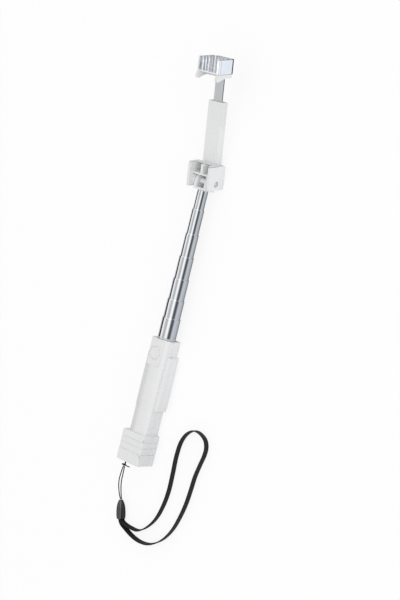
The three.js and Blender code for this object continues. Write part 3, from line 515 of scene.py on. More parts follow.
def copper_film(name):
    """Amber film over parallel copper conductors that run along the stick."""
    material, tree, shader, place = start_material(name, (0.6, 0.3, 0.08, 1), 0.3)
    conductors = add_node(tree, "ShaderNodeTexWave", Scale=330, Distortion=0)
    conductors.bands_direction = "X"
    link(tree, place, conductors.inputs["Vector"])
    colours = [(0.35, (0.42, 0.2, 0.05, 1)), (0.6, (0.78, 0.42, 0.16, 1))]
    link(tree, ramp(tree, conductors.outputs["Fac"], colours), shader.inputs["Base Color"])
    bump(tree, shader, conductors.outputs["Fac"], 0.3, 0.00003)
    return material


def foil(name):
    """The crinkled silver pouch of a lithium cell."""
    material, tree, shader, place = start_material(name, (0.68, 0.69, 0.71, 1), 0.34, 0.85)
    crinkle = add_node(tree, "ShaderNodeTexVoronoi", Scale=260)
    crinkle.feature = "SMOOTH_F1"
    link(tree, place, crinkle.inputs["Vector"])
    bump(tree, shader, crinkle.outputs["Distance"], 0.5, 0.0002)
    haze = noise(tree, place, 300, 4)
    link(tree, spread(tree, haze, 0.25, 0.45), shader.inputs["Roughness"])
    return material


def woven(name, colour, across, along):
    """Cloth whose threads follow the mesh's UV map: u along the piece and v across it.
    across and along are how many threads lie in one unit of v and of u."""
    material, tree, shader, _ = start_material(name, colour, 0.62)
    uv = tree.nodes.new("ShaderNodeUVMap")
    split = tree.nodes.new("ShaderNodeSeparateXYZ")
    link(tree, uv.outputs["UV"], split.inputs[0])
    u, v, _ = split.outputs
    warp = maths(tree, "SINE", maths(tree, "MULTIPLY", v, across * 2 * math.pi))
    weft = maths(tree, "SINE", maths(tree, "MULTIPLY", u, along * 2 * math.pi))
    height = maths(tree, "MULTIPLY_ADD", maths(tree, "MULTIPLY", warp, weft), 0.5, 0.5)
    fuzz = noise(tree, uv.outputs["UV"], 300, 4)
    # The colour is lighter on the raised threads and darker between them, a painted highlight and
    # painted shade of the weave's relief, mixed with random tone from the fuzz.
    level = maths(tree, "MULTIPLY_ADD", fuzz, 0.5, maths(tree, "MULTIPLY", height, 0.6))
    lit_crest_colour = tuple(c * 1.9 for c in colour[:3]) + (1,)
    link(tree, ramp(tree, level, [(0.25, colour), (0.9, lit_crest_colour)]), shader.inputs["Base Color"])
    link(tree, spread(tree, fuzz, 0.55, 0.8), shader.inputs["Roughness"])
    bump(tree, shader, level, 0.6, 0.00012)
    shader.inputs["Sheen Weight"].default_value = 0.01
    return material


WHITE = (0.86, 0.862, 0.868, 1)
WHITE_SHADE = (0.835, 0.838, 0.846, 1)
NYLON = (0.8, 0.8, 0.77, 1)
NYLON_SHADE = (0.72, 0.72, 0.69, 1)
BLACK = (0.013, 0.013, 0.015, 1)
BLACK_SHADE = (0.008, 0.008, 0.009, 1)
CLOTH_BLACK = (0.0055, 0.0055, 0.006, 1)
CHROME = (0.87, 0.88, 0.9, 1)
STEEL = (0.66, 0.67, 0.68, 1)
materials = {
    "white_plastic": moulded("white_plastic", WHITE_SHADE, WHITE, 0.26),
    "chrome": bright_metal("chrome", CHROME, 0.04, stretch=(9000, 60, 9000), depth=0.000001),
    "steel": bright_metal("steel", STEEL, 0.28, stretch=(200, 6000, 6000), depth=0.00001),
    "nylon": moulded("nylon", NYLON_SHADE, NYLON, 0.55, grain=1500, grain_depth=0.00003),
    "soft_pad": soft_rubber("soft_pad", (0.8, 0.8, 0.79, 1)),
    "board": solder_mask("board"),
    "flex": copper_film("flex"),
    "cell": foil("cell"),
    "black_plastic": moulded(
        "black_plastic", BLACK_SHADE, BLACK, 0.16, grain=900, grain_depth=0.000008
    ),
    "strap_weave": woven("strap_weave", CLOTH_BLACK, across=12, along=0.7),
    "string": woven("string", CLOTH_BLACK, across=4, along=1),
}
# The bead is a harder, glossier plastic than most.
bead_gloss = materials["black_plastic"].node_tree.nodes["Principled BSDF"]
bead_gloss.inputs["IOR"].default_value = 1.7
bead_gloss.inputs["Specular IOR Level"].default_value = 0.75

# ------------------------------------------------------------------ building pieces


def mesh_object(name, bm):
    """The bmesh as a smooth-shaded object with its faces turned outwards."""
    bmesh.ops.recalc_face_normals(bm, faces=bm.faces)
    for face in bm.faces:
        face.smooth = True
    mesh = bpy.data.meshes.new(name)
    bm.to_mesh(mesh)
    bm.free()
    obj = bpy.data.objects.new(name, mesh)
    bpy.context.scene.collection.objects.link(obj)
    return obj


def lathe(name, profile, place, segments=96):
    """A closed profile of (radius, height) points turned about the local z axis."""
    bm = bmesh.new()
    rings = []
    for i in range(segments):
        turn = 2 * math.pi * i / segments
        c, s = math.cos(turn), math.sin(turn)
        rings.append([bm.verts.new(place @ Vector((r * c, r * s, h))) for r, h in profile])
    for i, ring in enumerate(rings):
        following = rings[(i + 1) % segments]
        for j in range(len(profile) - 1):
            bm.faces.new((ring[j], following[j], following[j + 1], ring[j + 1]))
    bmesh.ops.remove_doubles(bm, verts=bm.verts, dist=1e-7)
    return mesh_object(name, bm)


def prism(name, outline, low, high, place):
    """An outline in local x and y, drawn out along local z from low to high."""
    bm = bmesh.new()
    bottom = [bm.verts.new(place @ Vector((x, y, low))) for x, y in outline]
    top = [bm.verts.new(place @ Vector((x, y, high))) for x, y in outline]
    bm.faces.new(bottom[::-1])
    bm.faces.new(top)
    for i in range(len(outline)):
        j = (i + 1) % len(outline)
        bm.faces.new((bottom[i], bottom[j], top[j], top[i]))
    return mesh_object(name, bm)


def apply_modifiers(obj):
    """Makes the modifiers' result the object's own mesh."""
    graph = bpy.context.evaluated_depsgraph_get()
    obj.data = bpy.data.meshes.new_from_object(obj.evaluated_get(graph))
    obj.modifiers.clear()


def combine(operation, obj, others):
    """Adds the other objects to obj, or cuts them out of it, and removes them."""
    for other in others:
        modifier = obj.modifiers.new("combine", "BOOLEAN")
        modifier.operation = operation
        modifier.solver = "EXACT"
        modifier.object = other
        apply_modifiers(obj)
        bpy.data.objects.remove(other)
    return obj


def carve(obj, *cutters):
    return combine("DIFFERENCE", obj, cutters)


def join(obj, *others):
    return combine("UNION", obj, others)


def even_normals(obj, angle=38):
    """Keeps the wide faces flat and the rounded edges smooth after joining and cutting."""
    for polygon in obj.data.polygons:
        polygon.use_smooth = True
    obj.data.set_sharp_from_angle(angle=math.radians(angle))
    level = obj.modifiers.new("even", "WEIGHTED_NORMAL")
    level.keep_sharp = True
    level.weight = 100


def copy_of(obj, name):
    twin = bpy.data.objects.new(name, obj.data.copy())
    bpy.context.scene.collection.objects.link(twin)
    return twin


def round_edges(obj, width, segments=3, angle=35):
    """Rounds every edge sharper than angle, as a mould or a polishing wheel leaves it."""
    bevel = obj.modifiers.new("round", "BEVEL")
    bevel.width = width * MM
    bevel.segments = segments
    bevel.limit_method = "ANGLE"
    bevel.angle_limit = math.radians(angle)
    bevel.use_clamp_overlap = True
    level = obj.modifiers.new("even", "WEIGHTED_NORMAL")
    level.keep_sharp = True


def merge(name, parts):
    """The parts as one object."""
    bm = bmesh.new()
    for part in parts:
        bm.from_mesh(part.data)
        bpy.data.objects.remove(part)
    return mesh_object(name, bm)


def install(obj, node):
    """obj stands for that CAD node: same body, same slot, same finish."""
    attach(obj, node_body[node])
    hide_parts(node)
    obj.data.materials.clear()
    obj.data.materials.append(materials[node_slot[node]])
    return obj


def scaled(matrix):
    """The matrix for points given in millimetres."""
    return matrix @ Matrix.Scale(MM, 4)


# Turns a drawing's (x, y, depth) into (x, depth, y), so that depth runs up the stick.
DEPTH_UP = Matrix(((1, 0, 0, 0), (0, 0, 1, 0), (0, 1, 0, 0), (0, 0, 0, 1)))

# Turns a lathe's axis so that it runs up the stick.
ALONG_STICK = Matrix.Rotation(math.radians(-90), 4, "X")


def rounded_rectangle(a, b, radius, steps=6):
    """The outline between two corners, with its own corners rounded."""
    (left, bottom), (right_edge, top) = a, b
    centres = [
        (right_edge - radius, bottom + radius, -90),
        (right_edge - radius, top - radius, 0),
        (left + radius, top - radius, 90),
        (left + radius, bottom + radius, 180),
    ]
    points = []
    for x, y, start in centres:
        for i in range(steps + 1):
            angle = math.radians(start + 90 * i / steps)
            points.append((x + radius * math.cos(angle), y + radius * math.sin(angle)))
    return points


def block(name, x, y, z):
    """A plain box in the stick's coordinates, used only to join or cut."""
    outline = [(x[0], y[0]), (x[1], y[0]), (x[1], y[1]), (x[0], y[1])]
    return prism(name, outline, z[0], z[1], scaled(STICK))


def drum(name, radius, low, high, centre, along=Matrix.Identity(4), sides=64):
    """A round bar in the stick's coordinates, along z unless along turns it."""
    place = STICK @ Matrix.Translation(Vector(centre) * MM) @ along
    return lathe(name, [(0, low), (radius, low), (radius, high), (0, high)], scaled(place), sides)


def rounded(obj, width):
    """Rounds the edges of a part before it is joined to another."""
    round_edges(obj, width, 4)
    apply_modifiers(obj)
    return obj


# ------------------------------------------------------------------ cords


def smooth_path(points, count):
    """count points evenly spaced along a centripetal Catmull-Rom curve through the points."""
    dense = []
    ends = [2 * points[0] - points[1], *points, 2 * points[-1] - points[-2]]
    for a, b, c, d in zip(ends, ends[1:], ends[2:], ends[3:]):
        t0 = 0.0
        t1 = t0 + (b - a).length ** 0.5
        t2 = t1 + (c - b).length ** 0.5
        t3 = t2 + (d - c).length ** 0.5
        for i in range(40):
            t = t1 + (t2 - t1) * i / 40
            p = a.lerp(b, (t - t0) / (t1 - t0))
            q = b.lerp(c, (t - t1) / (t2 - t1))
            r = c.lerp(d, (t - t2) / (t3 - t2))
            e = p.lerp(q, (t - t0) / (t2 - t0))
            f = q.lerp(r, (t - t1) / (t3 - t1))
            dense.append(e.lerp(f, (t - t1) / (t2 - t1)))
    dense.append(points[-1])
    travelled = [0.0]
    for a, b in zip(dense, dense[1:]):
        travelled.append(travelled[-1] + (b - a).length)
    even = []
    at = 0
    for i in range(count):
        wanted = travelled[-1] * i / (count - 1)
        while at < len(dense) - 2 and travelled[at + 1] < wanted:
            at += 1
        step = travelled[at + 1] - travelled[at]
        even.append(dense[at].lerp(dense[at + 1], (wanted - travelled[at]) / step))
    return even, travelled[-1]


def sweep(name, path, section, upright):
    """A section of (side, up) points, in metres, swept along a path and closed at both ends.
    section may be a function of the share of the way along, and upright one of the point. u is
    the distance along the path in millimetres, and v goes from 0 to 1 round it."""
    bm = bmesh.new()
    uv = bm.loops.layers.uv.new("UVMap")
    rings = []
    travelled = 0.0
    marks = []
    for i, point in enumerate(path):
        ahead = path[min(i + 1, len(path) - 1)] - path[max(i - 1, 0)]
        ahead.normalize()
        side = ahead.cross(upright(point) if callable(upright) else upright).normalized()
        lift = side.cross(ahead).normalized()
        shape = section(i / (len(path) - 1)) if callable(section) else section
        if i:
            travelled += (point - path[i - 1]).length
        rings.append([bm.verts.new(point + side * a + lift * b) for a, b in shape])
        marks.append(travelled / MM)
    count = len(rings[0])
    for i in range(len(rings) - 1):
        for j in range(count):
            k = (j + 1) % count
            face = bm.faces.new((rings[i][j], rings[i][k], rings[i + 1][k], rings[i + 1][j]))
            corners = (
                (marks[i], j / count),
                (marks[i], (j + 1) / count),
                (marks[i + 1], (j + 1) / count),
                (marks[i + 1], j / count),
            )
            for loop, corner in zip(face.loops, corners):
                loop[uv].uv = corner
    bm.faces.new(rings[0][::-1])
    bm.faces.new(rings[-1])
    return mesh_object(name, bm)


def twisted_section(diameter, length):
    """A cord laid up from several plies: a lobed section that turns along the cord."""
    turns = length / (STRING_LAY * MM)

    def section(share):
        sides = 8 * STRING_PLIES
        points = []
        for i in range(sides):
            angle = 2 * math.pi * i / sides
            lobe = abs(math.cos(STRING_PLIES / 2 * angle))
            radius = diameter / 2 * (1 - STRING_LOBE + STRING_LOBE * lobe)
            turned = angle + 2 * math.pi * turns * share
            points.append((radius * math.cos(turned), radius * math.sin(turned)))
        return points

    return section


def string_path(side):
    """One strand from the knot to the slider, in metres."""
    points = []
    last = len(STRING_POINTS) - 1
    for i, point in enumerate(STRING_POINTS):
        bow = STRAND_BOW * math.sin(math.pi * i / last)
        apart = Vector((side * ((STRING_DIAMETER + STRAND_GAP) / 2 + bow), 0, 0))
        points.append(STICK @ ((Vector(point) + apart) * MM))
    return smooth_path(points, 160)


def make_slider():
    """A bullet-shaped bead, fattest near the strap."""
    profile = [
        (0, 0.5), (0.7, 0.4), (0.95, 0.08), (1.3, 0), (1.7, 0.3), (2.1, 1), (2.55, 2.1),
        (3.05, 3.5), (3.4, 4.9), (3.66, 6.3), (3.8, 7.8), (3.88, 9.4),
        (SLIDER_RADIUS, 11), (SLIDER_RADIUS, 12.6), (3.9, 13.5), (3.8, 14.4), (3.6, 15.7),
        (3.5, 16.05), (3.35, SLIDER_LENGTH), (3.15, 16.15), (3.05, 15.9), (3.0, 14.9), (0, 14.8),
    ]
    heading = Vector((*SLIDER_DIRECTION, 0)).normalized()
    turn = heading.to_track_quat("Z", "Y").to_matrix().to_4x4()
    tip = STICK @ (Vector((*SLIDER_TIP, 0)) * MM)
    tip.z = surface + SLIDER_RADIUS * MM
    bead = lathe("slider_bead", profile, scaled(Matrix.Translation(tip) @ turn), segments=64)
    return install(bead, "strap_slider")


def loop_leg(side):
    """One leg of the loop round the lanyard bar, from the knot to beside the bar's top."""
    half = STRING_DIAMETER * 0.62
    x = LANYARD_X + side * half
    bar_y = EYE_DEPTH / 2
    return [
        (x, KNOT_Y + 0.4, LANYARD_Z + side * 0.25),
        (x, -1.2, LANYARD_Z + side * 0.5),
        (x, bar_y - 0.8, LANYARD_Z + side * BAR_WRAP),
        (x, bar_y, LANYARD_Z + side * BAR_WRAP),
        (
            LANYARD_X + side * half / 2,
            bar_y + BAR_WRAP * 0.75,
            LANYARD_Z + side * BAR_WRAP * 0.7,
        ),
    ]


def make_knot():
    """The string's knot pulled tight, its cut end, and the loop that passes round the bar."""
    wide = KNOT_HALF_WIDTH - KNOT_STRING / 2
    long = KNOT_HALF_LENGTH - KNOT_STRING / 2
    high = KNOT_HALF_HEIGHT - KNOT_STRING / 2
    # A trefoil knot, flattened.
    turns = [
        (
            KNOT_X + (math.sin(t) + 2 * math.sin(2 * t)) / 3 * wide,
            KNOT_Y + (math.cos(t) - 2 * math.cos(2 * t)) / 3 * long,
            LANYARD_Z - math.sin(3 * t) * high,
        )
        for t in [2 * math.pi * i / 48 for i in range(49)]
    ]
    tail_end = KNOT_X + KNOT_TAIL
    tail = [
        (KNOT_X + 1.2, KNOT_Y, LANYARD_Z),
        (KNOT_X + 3.2, KNOT_Y - 0.05, LANYARD_Z),
        (tail_end - 1.2, KNOT_Y + 0.04, LANYARD_Z + 0.05),
        (tail_end, KNOT_Y + 0.12, LANYARD_Z),
    ]
    top = (LANYARD_X, EYE_DEPTH / 2 + BAR_WRAP, LANYARD_Z)
    loop = [*loop_leg(-1), top, *reversed(loop_leg(1))]
    strands = []
    for number, route in enumerate((turns, tail, loop)):
        points = [STICK @ (Vector(point) * MM) for point in route]
        path, length = smooth_path(points, 40 + 3 * len(route))
        section = twisted_section(KNOT_STRING * MM, length)
        strands.append(sweep(f"knot_strand_{number}", path, section, Vector((0.1, 0.2, 1))))
    return install(merge("string_knot_tied", strands), "string_knot")


def make_strings():
    """The two strands; the pieces that the string carries go with the left one."""
    for side, node in ((-1, "string_left"), (1, "string_right")):
        path, length = string_path(side)
        section = twisted_section(STRING_DIAMETER * MM, length)
        strand = sweep(node + "_cord", path, section, Vector((0, 0, 1)))
        install(strand, node)


def band_section():
    """The strap's section: flat faces, rounded edges, and selvedges a little thicker."""
    half_width = STRAP_WIDTH / 2 * MM
    half = STRAP_THICKNESS / 2 * MM
    edge = [(0.55, 0.86), (0.82, 1.0), (0.93, 0.92), (0.985, 0.6), (1, 0.2)]
    side = [(half * t, half_width * w) for w, t in [(0, 0.84), (0.3, 0.84), *edge]]
    upper = side + [(-a, b) for a, b in side[::-1]]
    lower = [(-a, -b) for a, b in side[1:]] + [(a, -b) for a, b in side[:0:-1]]
    return upper + lower


def strap_lean(point):
    """The strap leans outwards where it bends round near the slider, and stands up elsewhere."""
    below = STRAP_LEAN_FROM * MM - (point.y - foot)
    share = min(1, max(0, below / (STRAP_LEAN_SPAN * MM)))
    return Vector((0, -STRAP_LEAN * share, 1))


def make_strap():
    """A woven band that stands on its edge and comes back to the slider."""
    mouth = Vector(SLIDER_TIP) + Vector(SLIDER_DIRECTION).normalized() * SLIDER_LENGTH
    rise = SLIDER_RADIUS - STRAP_WIDTH / 2
    points = []
    for x, y in STRAP_POINTS:
        near = max(0, 1 - (Vector((x, y)) - mouth).length / STRAP_RISE_LENGTH)
        point = STICK @ (Vector((x, y, 0)) * MM)
        point.z = surface + (STRAP_WIDTH / 2 + rise * near * near * (3 - 2 * near)) * MM
        points.append(point)
    for at in (0, -1):
        points[at] = points[at] - STICK.to_3x3() @ Vector((*SLIDER_DIRECTION, 0)) * STRAP_TUCK * MM
    path, length = smooth_path(points, 420)
    strap = sweep("strap_band", path, band_section(), strap_lean)
    install(strap, "wrist_strap")


knot = make_knot()
slider = make_slider()
make_strings()
make_strap()

# ------------------------------------------------------------------ tubes


def tube_profile(radius, bottom, top):
    """The wall of one tube, with its upper end rolled in over the next."""
    inner = radius - TUBE_WALL
    lip = [
        (radius - LIP_DEPTH * (1 - math.cos(a)), top - LIP_LENGTH * (1 - math.sin(a)))
        for a in [math.radians(d) for d in (0, 18, 36, 54, 72, 90)]
    ]
    inside = [(radius - LIP_DEPTH, top - LIP_FACE), (inner, top - LIP_LENGTH), (inner, bottom)]
    return [(inner, bottom), (radius, bottom), (radius, top - LIP_SUPPORT), *lip, *inside]


def make_tubes():
    for k in range(1, 8):
        node = f"tube_{k}"
        low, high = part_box(node)
        radius = (high.z - low.z) / 2 / MM
        bottom = (low.y - foot) / MM
        top = (high.y - foot) / MM
        profile = tube_profile(radius, bottom, top)
        tube = lathe(f"section_tube_{k}", profile, scaled(STICK @ ALONG_STICK))
        install(tube, node)


make_tubes()

# ------------------------------------------------------------------ grip shells

BODY_HALF_WIDTH = 9.5
BODY_FRONT = 9.8
BODY_FRONT_EDGE = 6.8
BODY_BACK = 9.5
BODY_BACK_EDGE = 7.6
WING_HALF_WIDTH = 12.2
WING_FRONT = 4.9
WING_BACK = 8
WING_SPAN = (47.5, 94)
PAD_HALF_WIDTH = 6.5
PAD_FRONT = 10.1
PAD_BOTTOM = 84
PAD_CORNER = 2.5
BLOCK_HALF_WIDTH = 12.35
BLOCK_HEIGHT = 26
BLOCK_FRONT = 12.2
BLOCK_BACK = 8
BLOCK_WALL = 1.6
GROOVE_HEIGHTS = (10, 15.5, 20.6)
GROOVE_WIDTH = 0.8
GROOVE_DEPTH = 0.45
PARTING_GAP = 0.1
PARTING_DEPTH = 0.15
BORE_RADIUS = 7.9
BORE_FLOOR = 27.5
BUSH_RADIUS = 8.45
BUSH_SPAN = (99.5, 105.5)
BUTTON_Y = 95
BUTTON_PLAY = 0.22
FLANGE_ROOM_RADIUS = 6.1
FLANGE_ROOM_ROOF = 0.75
RING_WIDTH = 0.5
RING_DEPTH = 0.35
FLEX_HALF_WIDTH = 2.3
FLEX_FRONT = 8.4
SOCKET_HEIGHTS = (9.05, 16.95)
SOCKET_DEPTHS = (-3.65, -0.75)
SCREW_PLACES = [(-10.2, 54), (10.2, 54), (-10.2, 84), (10.2, 84)]
SINK_RADIUS = 1.68
SINK_FLOOR = -6.2
SHANK_HOLE_RADIUS = 0.93
SHANK_HOLE_SPAN = (-6.5, 3.1)
# Where the part of the body that the parting groove leaves begins, hidden in the end block.
KEPT_BODY_FROM = 8.85
# Further than the grip reaches, for cutters that go right out of it.
FAR = 300


def body_outline():
    """Flat sides joined by a shallow arc in front and another behind."""
    points = []
    for crown, edge, sign in ((BODY_FRONT, BODY_FRONT_EDGE, 1), (BODY_BACK, BODY_BACK_EDGE, -1)):
        rise = crown - edge
        radius = (BODY_HALF_WIDTH**2 + rise**2) / (2 * rise)
        sweep_angle = math.asin(BODY_HALF_WIDTH / radius)
        for i in range(33):
            angle = sweep_angle * (1 - i / 16)
            height = crown - radius + radius * math.cos(angle)
            points.append((sign * radius * math.sin(angle), sign * height))
    return points


def block_outline(grown, corner):
    """The end block's outline, made larger all round by grown."""
    return rounded_rectangle(
        (-BLOCK_HALF_WIDTH - grown, -BLOCK_BACK - grown),
        (BLOCK_HALF_WIDTH + grown, BLOCK_FRONT + grown),
        corner,
    )


def along_stick(name, outline, low, high, rounding):
    """An outline seen from the stick's foot, drawn out along it, with rounded edges."""
    return rounded(prism(name, outline, low, high, scaled(STICK @ DEPTH_UP)), rounding)


def grip_outside():
    """The grip's body, side wings, grooved end block and raised land, as one solid."""
    body = along_stick("body", body_outline(), BLOCK_HEIGHT - 2, GRIP_TOP, 0.5)
    wings = along_stick(
        "wings",
        rounded_rectangle((-WING_HALF_WIDTH, -WING_BACK), (WING_HALF_WIDTH, WING_FRONT), 1.1),
        *WING_SPAN, 0.55,
    )
    foot_block = along_stick("foot_block", block_outline(0, 1.5), 0, BLOCK_HEIGHT, 0.5)
    place = scaled(STICK @ DEPTH_UP)
    for y in GROOVE_HEIGHTS:
        half = GROOVE_WIDTH / 2
        belt = prism("belt", block_outline(1, 2), y - half, y + half, place)
        core_outline = block_outline(-GROOVE_DEPTH, 1.2)
        core = prism("core", core_outline, y - GROOVE_WIDTH, y + GROOVE_WIDTH, place)
        carve(foot_block, carve(belt, core))
    pad_outline = rounded_rectangle(
        (-PAD_HALF_WIDTH, PAD_BOTTOM), (PAD_HALF_WIDTH, GRIP_TOP + 2 * PAD_CORNER), PAD_CORNER, 10
    )
    pad = rounded(prism("pad", pad_outline, 5, PAD_FRONT, scaled(STICK)), 0.3)
    pad_end = block("pad_end", (-FAR, FAR), (GRIP_TOP, FAR), (-FAR, FAR))
    return join(body, wings, foot_block, carve(pad, pad_end))


def grip_inside():
    """Everything cut out of the grip: bore, bush seat, electronics room, holes and eye."""
    wall = BLOCK_WALL
    under = BORE_RADIUS / 2
    button = (0, BUTTON_Y, 0)
    ring = BUTTON_RADIUS + RING_WIDTH
    cutters = [
        drum("bore", BORE_RADIUS, BORE_FLOOR, FAR, (0, 0, 0), ALONG_STICK),
        drum("bush_seat", BUSH_RADIUS, *BUSH_SPAN, (0, 0, 0), ALONG_STICK),
        block(
            "room", (-BLOCK_HALF_WIDTH + wall, BLOCK_HALF_WIDTH - wall),
            (EYE_DEPTH + wall, BLOCK_HEIGHT - wall), (-BLOCK_BACK + wall, BLOCK_FRONT - wall),
        ),
        block(
            "flex_way", (-FLEX_HALF_WIDTH, FLEX_HALF_WIDTH),
            (BLOCK_HEIGHT - wall - 0.5, BUTTON_Y), (BORE_RADIUS - 0.5, FLEX_FRONT),
        ),
        drum("flange_room", FLANGE_ROOM_RADIUS, under, PAD_FRONT - FLANGE_ROOM_ROOF, button),
        drum("button_hole", BUTTON_RADIUS + BUTTON_PLAY, under, FAR, button),
        drum("button_ring", ring, PAD_FRONT - RING_DEPTH, FAR, button),
        block(
            "socket_hole", (-FAR, -BLOCK_HALF_WIDTH + 2 * wall), SOCKET_HEIGHTS, SOCKET_DEPTHS
        ),
        block(
            "eye", (LANYARD_X - EYE_HALF_WIDTH, LANYARD_X + EYE_HALF_WIDTH), (-1, EYE_DEPTH),
            (LANYARD_Z - EYE_HALF_HEIGHT, LANYARD_Z + EYE_HALF_HEIGHT),
        ),
    ]
    for x, y in SCREW_PLACES:
        cutters.append(drum("sink", SINK_RADIUS, -FAR, SINK_FLOOR, (x, y, 0), sides=32))
        cutters.append(
            drum("shank_hole", SHANK_HOLE_RADIUS, *SHANK_HOLE_SPAN, (x, y, 0), sides=32)
        )
    return cutters


def parting_belt():
    """The fine groove where the two shells meet, all the way round: a thin slab less what stays.
    The kept blocks differ in height so that none of their flat sides coincide."""
    slab = block("slab", (-FAR, FAR), (-FAR, GRIP_TOP + 1), (-PARTING_GAP, PARTING_GAP))
    kept = []
    for half_width, low, high, half_height in (
        (BODY_HALF_WIDTH, KEPT_BODY_FROM, GRIP_TOP, 1),
        (WING_HALF_WIDTH, *WING_SPAN, 1.1),
        (BLOCK_HALF_WIDTH, 0, BLOCK_HEIGHT, 1.2),
    ):
        across = half_width - PARTING_DEPTH
        span = (low + PARTING_DEPTH, high - PARTING_DEPTH)
        kept.append(block("kept", (-across, across), span, (-half_height, half_height)))
    return carve(slab, *kept)


def make_shells():
    """The grip cut into its front and rear shells at the stick's middle plane."""
    grip = carve(grip_outside(), parting_belt(), *grip_inside())
    everywhere = (-FAR, FAR)
    front = carve(copy_of(grip, "grip_front"), block("below", everywhere, everywhere, (-FAR, 0)))
    rear = carve(grip, block("above", everywhere, everywhere, (0, FAR)))
    rear.name = "grip_rear"
    for shell, node in ((front, "front_shell"), (rear, "rear_shell")):
        even_normals(shell)
        install(shell, node)


make_shells()

# ------------------------------------------------------------------ screws

SCREW_RADIUS = 1.58
SHANK_RADIUS = 0.85
# Each kind of screw's outer face, the underside of its head, and its tip, as depths.
GRIP_SCREW = (-7.4, -6.3, 3)
COVER_SCREW = (-9, -8.5, -7.65)
COVER_SCREW_HEIGHTS = (21.7, 60.3)


def make_screw(name, depths, centre, frame_matrix):
    """A pan screw seen from below: a domed head with a cross recess, and a plain shank."""
    face, neck, tip = depths
    radius = SCREW_RADIUS
    shank = SHANK_RADIUS
    place = scaled(frame_matrix @ Matrix.Translation(Vector(centre) * MM))
    screw = lathe(name, [
        (0, face), (radius * 0.55, face), (radius * 0.86, face + 0.08), (radius, face + 0.24),
        (radius, neck), (shank, neck), (shank, tip - shank * 0.6), (shank * 0.35, tip), (0, tip),
    ], place, segments=40)
    arm = radius * 0.62
    half = radius * 0.13
    depth = face + min(0.55, (neck - face) * 0.6)
    for x, y in ((arm, half), (half, arm)):
        outline = [(-x, -y), (x, -y), (x, y), (-x, y)]
        carve(screw, prism("slot", outline, face - 1, depth, place))
    even_normals(screw)
    return screw


def make_screws():
    for i, (x, y) in enumerate(SCREW_PLACES):
        node = f"grip_screw_{i + 1}"
        install(make_screw(node + "_cross", GRIP_SCREW, (x, y, 0), STICK), node)
    for i, y in enumerate(COVER_SCREW_HEIGHTS):
        node = f"cover_screw_{i + 1}"
        install(make_screw(node + "_cross", COVER_SCREW, (0, y, 0), HEAD), node)


make_screws()

# ------------------------------------------------------------------ hinge

PIN_RADIUS = 1.6
PIN_HEAD_THICKNESS = 0.6
PIN_HEAD_EDGE = 0.22
BARREL_BORE = 1.65
BARREL_EDGE = 0.15


def half_sizes(node):
    """Half of a round crosswise piece's length, and its radius, in millimetres."""
    low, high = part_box(node)
    return (high.x - low.x) / 2 / MM, (high.z - low.z) / 2 / MM


def turned_piece(node, end):
    """A round crosswise piece alike at both ends, from the profile of one of them."""
    place = scaled(Matrix.Translation(middle("hinge_pin")) @ Matrix.Rotation(math.pi / 2, 4, "Y"))
    profile = end + [(radius, -along) for radius, along in reversed(end)]
    piece = lathe(node + "_round", profile, place, segments=64)
    even_normals(piece)
    install(piece, node)


def make_hinge():
    """The pin with its two low rounded heads, and the sleeve between the block's ears."""
    half, radius = half_sizes("hinge_pin")
    inner = half - PIN_HEAD_THICKNESS
    turned_piece("hinge_pin", [
        (0, half), (radius * 0.6, half), (radius * 0.86, half - PIN_HEAD_EDGE / 4),
        (radius, half - PIN_HEAD_EDGE), (radius, inner), (PIN_RADIUS, inner),
    ])
    half, radius = half_sizes("hinge_barrel")
    turned_piece("hinge_barrel", [
        (BARREL_BORE, half), (radius - BARREL_EDGE, half), (radius, half - BARREL_EDGE),
    ])


make_hinge()

# ------------------------------------------------------------------ button


def make_button():
    """A shallow dished button with a rounded rim and the hidden flange that keeps it in."""
    low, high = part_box("shutter_button")
    centre = Matrix.Translation((0, (low.y + high.y) / 2, 0))
    foot_z = low.z / MM
    flange_z = foot_z + BUTTON_FLANGE_THICKNESS
    face = high.z / MM
    flange = BUTTON_RADIUS + BUTTON_FLANGE
    fillet = [
        (
            BUTTON_RADIUS - BUTTON_FILLET * (1 - math.cos(a)),
            face - BUTTON_FILLET * (1 - math.sin(a)),
        )
        for a in [math.radians(d) for d in (0, 22, 45, 67, 90)]
    ]
    rim = BUTTON_RADIUS - BUTTON_FILLET - BUTTON_RIM
    dish = [
        (rim * share, face - BUTTON_DISH * (1 - share**2)) for share in (1, 0.85, 0.7, 0.5, 0.3, 0)
    ]
    profile = [
        (0, foot_z),
        (flange, foot_z),
        (flange, flange_z),
        (BUTTON_RADIUS, flange_z),
        *fillet,
        *dish,
    ]
    button = lathe("button_cap", profile, scaled(centre))
    round_edges(button, 0.06, segments=2, angle=50)
    install(button, "shutter_button")


make_button()

# ------------------------------------------------------------------ jaw shell


def channel(inset, shell_back, front):
    """The outline of the jaw's shell, seen from above: open in front, round corners behind."""
    half = JAW_HALF_WIDTH - inset
    corner = SHELL_BACK_CORNER - inset
    steps = 12
    left = [
        (-half + corner - corner * math.cos(a), shell_back + corner - corner * math.sin(a))
        for a in [math.pi / 2 * i / steps for i in range(steps + 1)]
    ]
    right_side = [(-x, z) for x, z in left[::-1]]
    return [(-half, front), *left, *right_side, (half, front)]


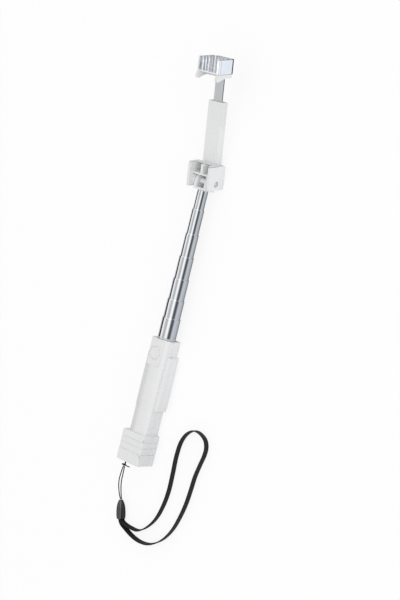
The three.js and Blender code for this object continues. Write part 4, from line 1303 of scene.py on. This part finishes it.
def make_jaw_shell():
    """The bright cup round the jaw, with a groove down each side and ribs inside its walls."""
    place = scaled(HEAD @ DEPTH_UP)
    outer = prism("jaw_shell_cup", channel(0, SHELL_BACK, JAW_FRONT), JAW_SPLIT, SHELL_TOP, place)
    inner = prism(
        "hollow", channel(SHELL_WALL, SHELL_BACK + SHELL_WALL, JAW_FRONT + 5),
        JAW_SPLIT + SHELL_FLOOR, SHELL_TOP + 5, place,
    )
    carve(outer, inner)
    low, high = SHELL_GROOVE
    for side in (-1, 1):
        x = side * JAW_HALF_WIDTH
        a, b = sorted((x - side * SHELL_GROOVE_DEPTH, x + side))
        outline = [(a, low), (b, low), (b, high), (a, high)]
        carve(outer, prism("groove", outline, *SHELL_GROOVE_SPAN, place))
    round_edges(outer, 0.25)
    apply_modifiers(outer)
    ribs = []
    wall = JAW_HALF_WIDTH - SHELL_WALL
    back_wall = SHELL_BACK + SHELL_WALL
    spots = [(side * wall, w) for side in (-1, 1) for w in SHELL_RIBS_ALONG]
    spots += [(x, back_wall) for x in SHELL_RIBS_ACROSS]
    for x, w in spots:
        outline = [
            (x + SHELL_RIB_RADIUS * math.cos(a), w + SHELL_RIB_RADIUS * math.sin(a))
            for a in [2 * math.pi * i / 32 for i in range(32)]
        ]
        ribs.append(prism("rib", outline, *SHELL_RIB_SPAN, place))
    join(outer, *ribs)
    even_normals(outer, 50)
    install(outer, "jaw_shell")


make_jaw_shell()

# ------------------------------------------------------------------ carried-over nodes

EDGE_ROUNDING = {
    "head_frame": 0.3,
    "jaw_base": 0.3,
    "hinge_block": 0.3,
    "seat_pad": 0.2,
    "jaw_pad": 0.2,
    "spine_cover": 0.15,
    "slide_strip": 0.15,
}


def dress(node):
    """Gives a carried-over CAD node its finish, and rounds its moulded edges."""
    obj = nodes[node]
    obj.data.materials.clear()
    obj.data.materials.append(materials[node_slot[node]])
    if node in EDGE_ROUNDING:
        for polygon in obj.data.polygons:
            polygon.use_smooth = True
        weld = obj.modifiers.new("weld", "WELD")
        weld.merge_threshold = 1e-6
        flat = obj.modifiers.new("flat", "DECIMATE")
        flat.decimate_type = "DISSOLVE"
        flat.angle_limit = math.radians(1)
        round_edges(obj, EDGE_ROUNDING[node])


for node in nodes:
    if not nodes[node].hide_render:
        dress(node)
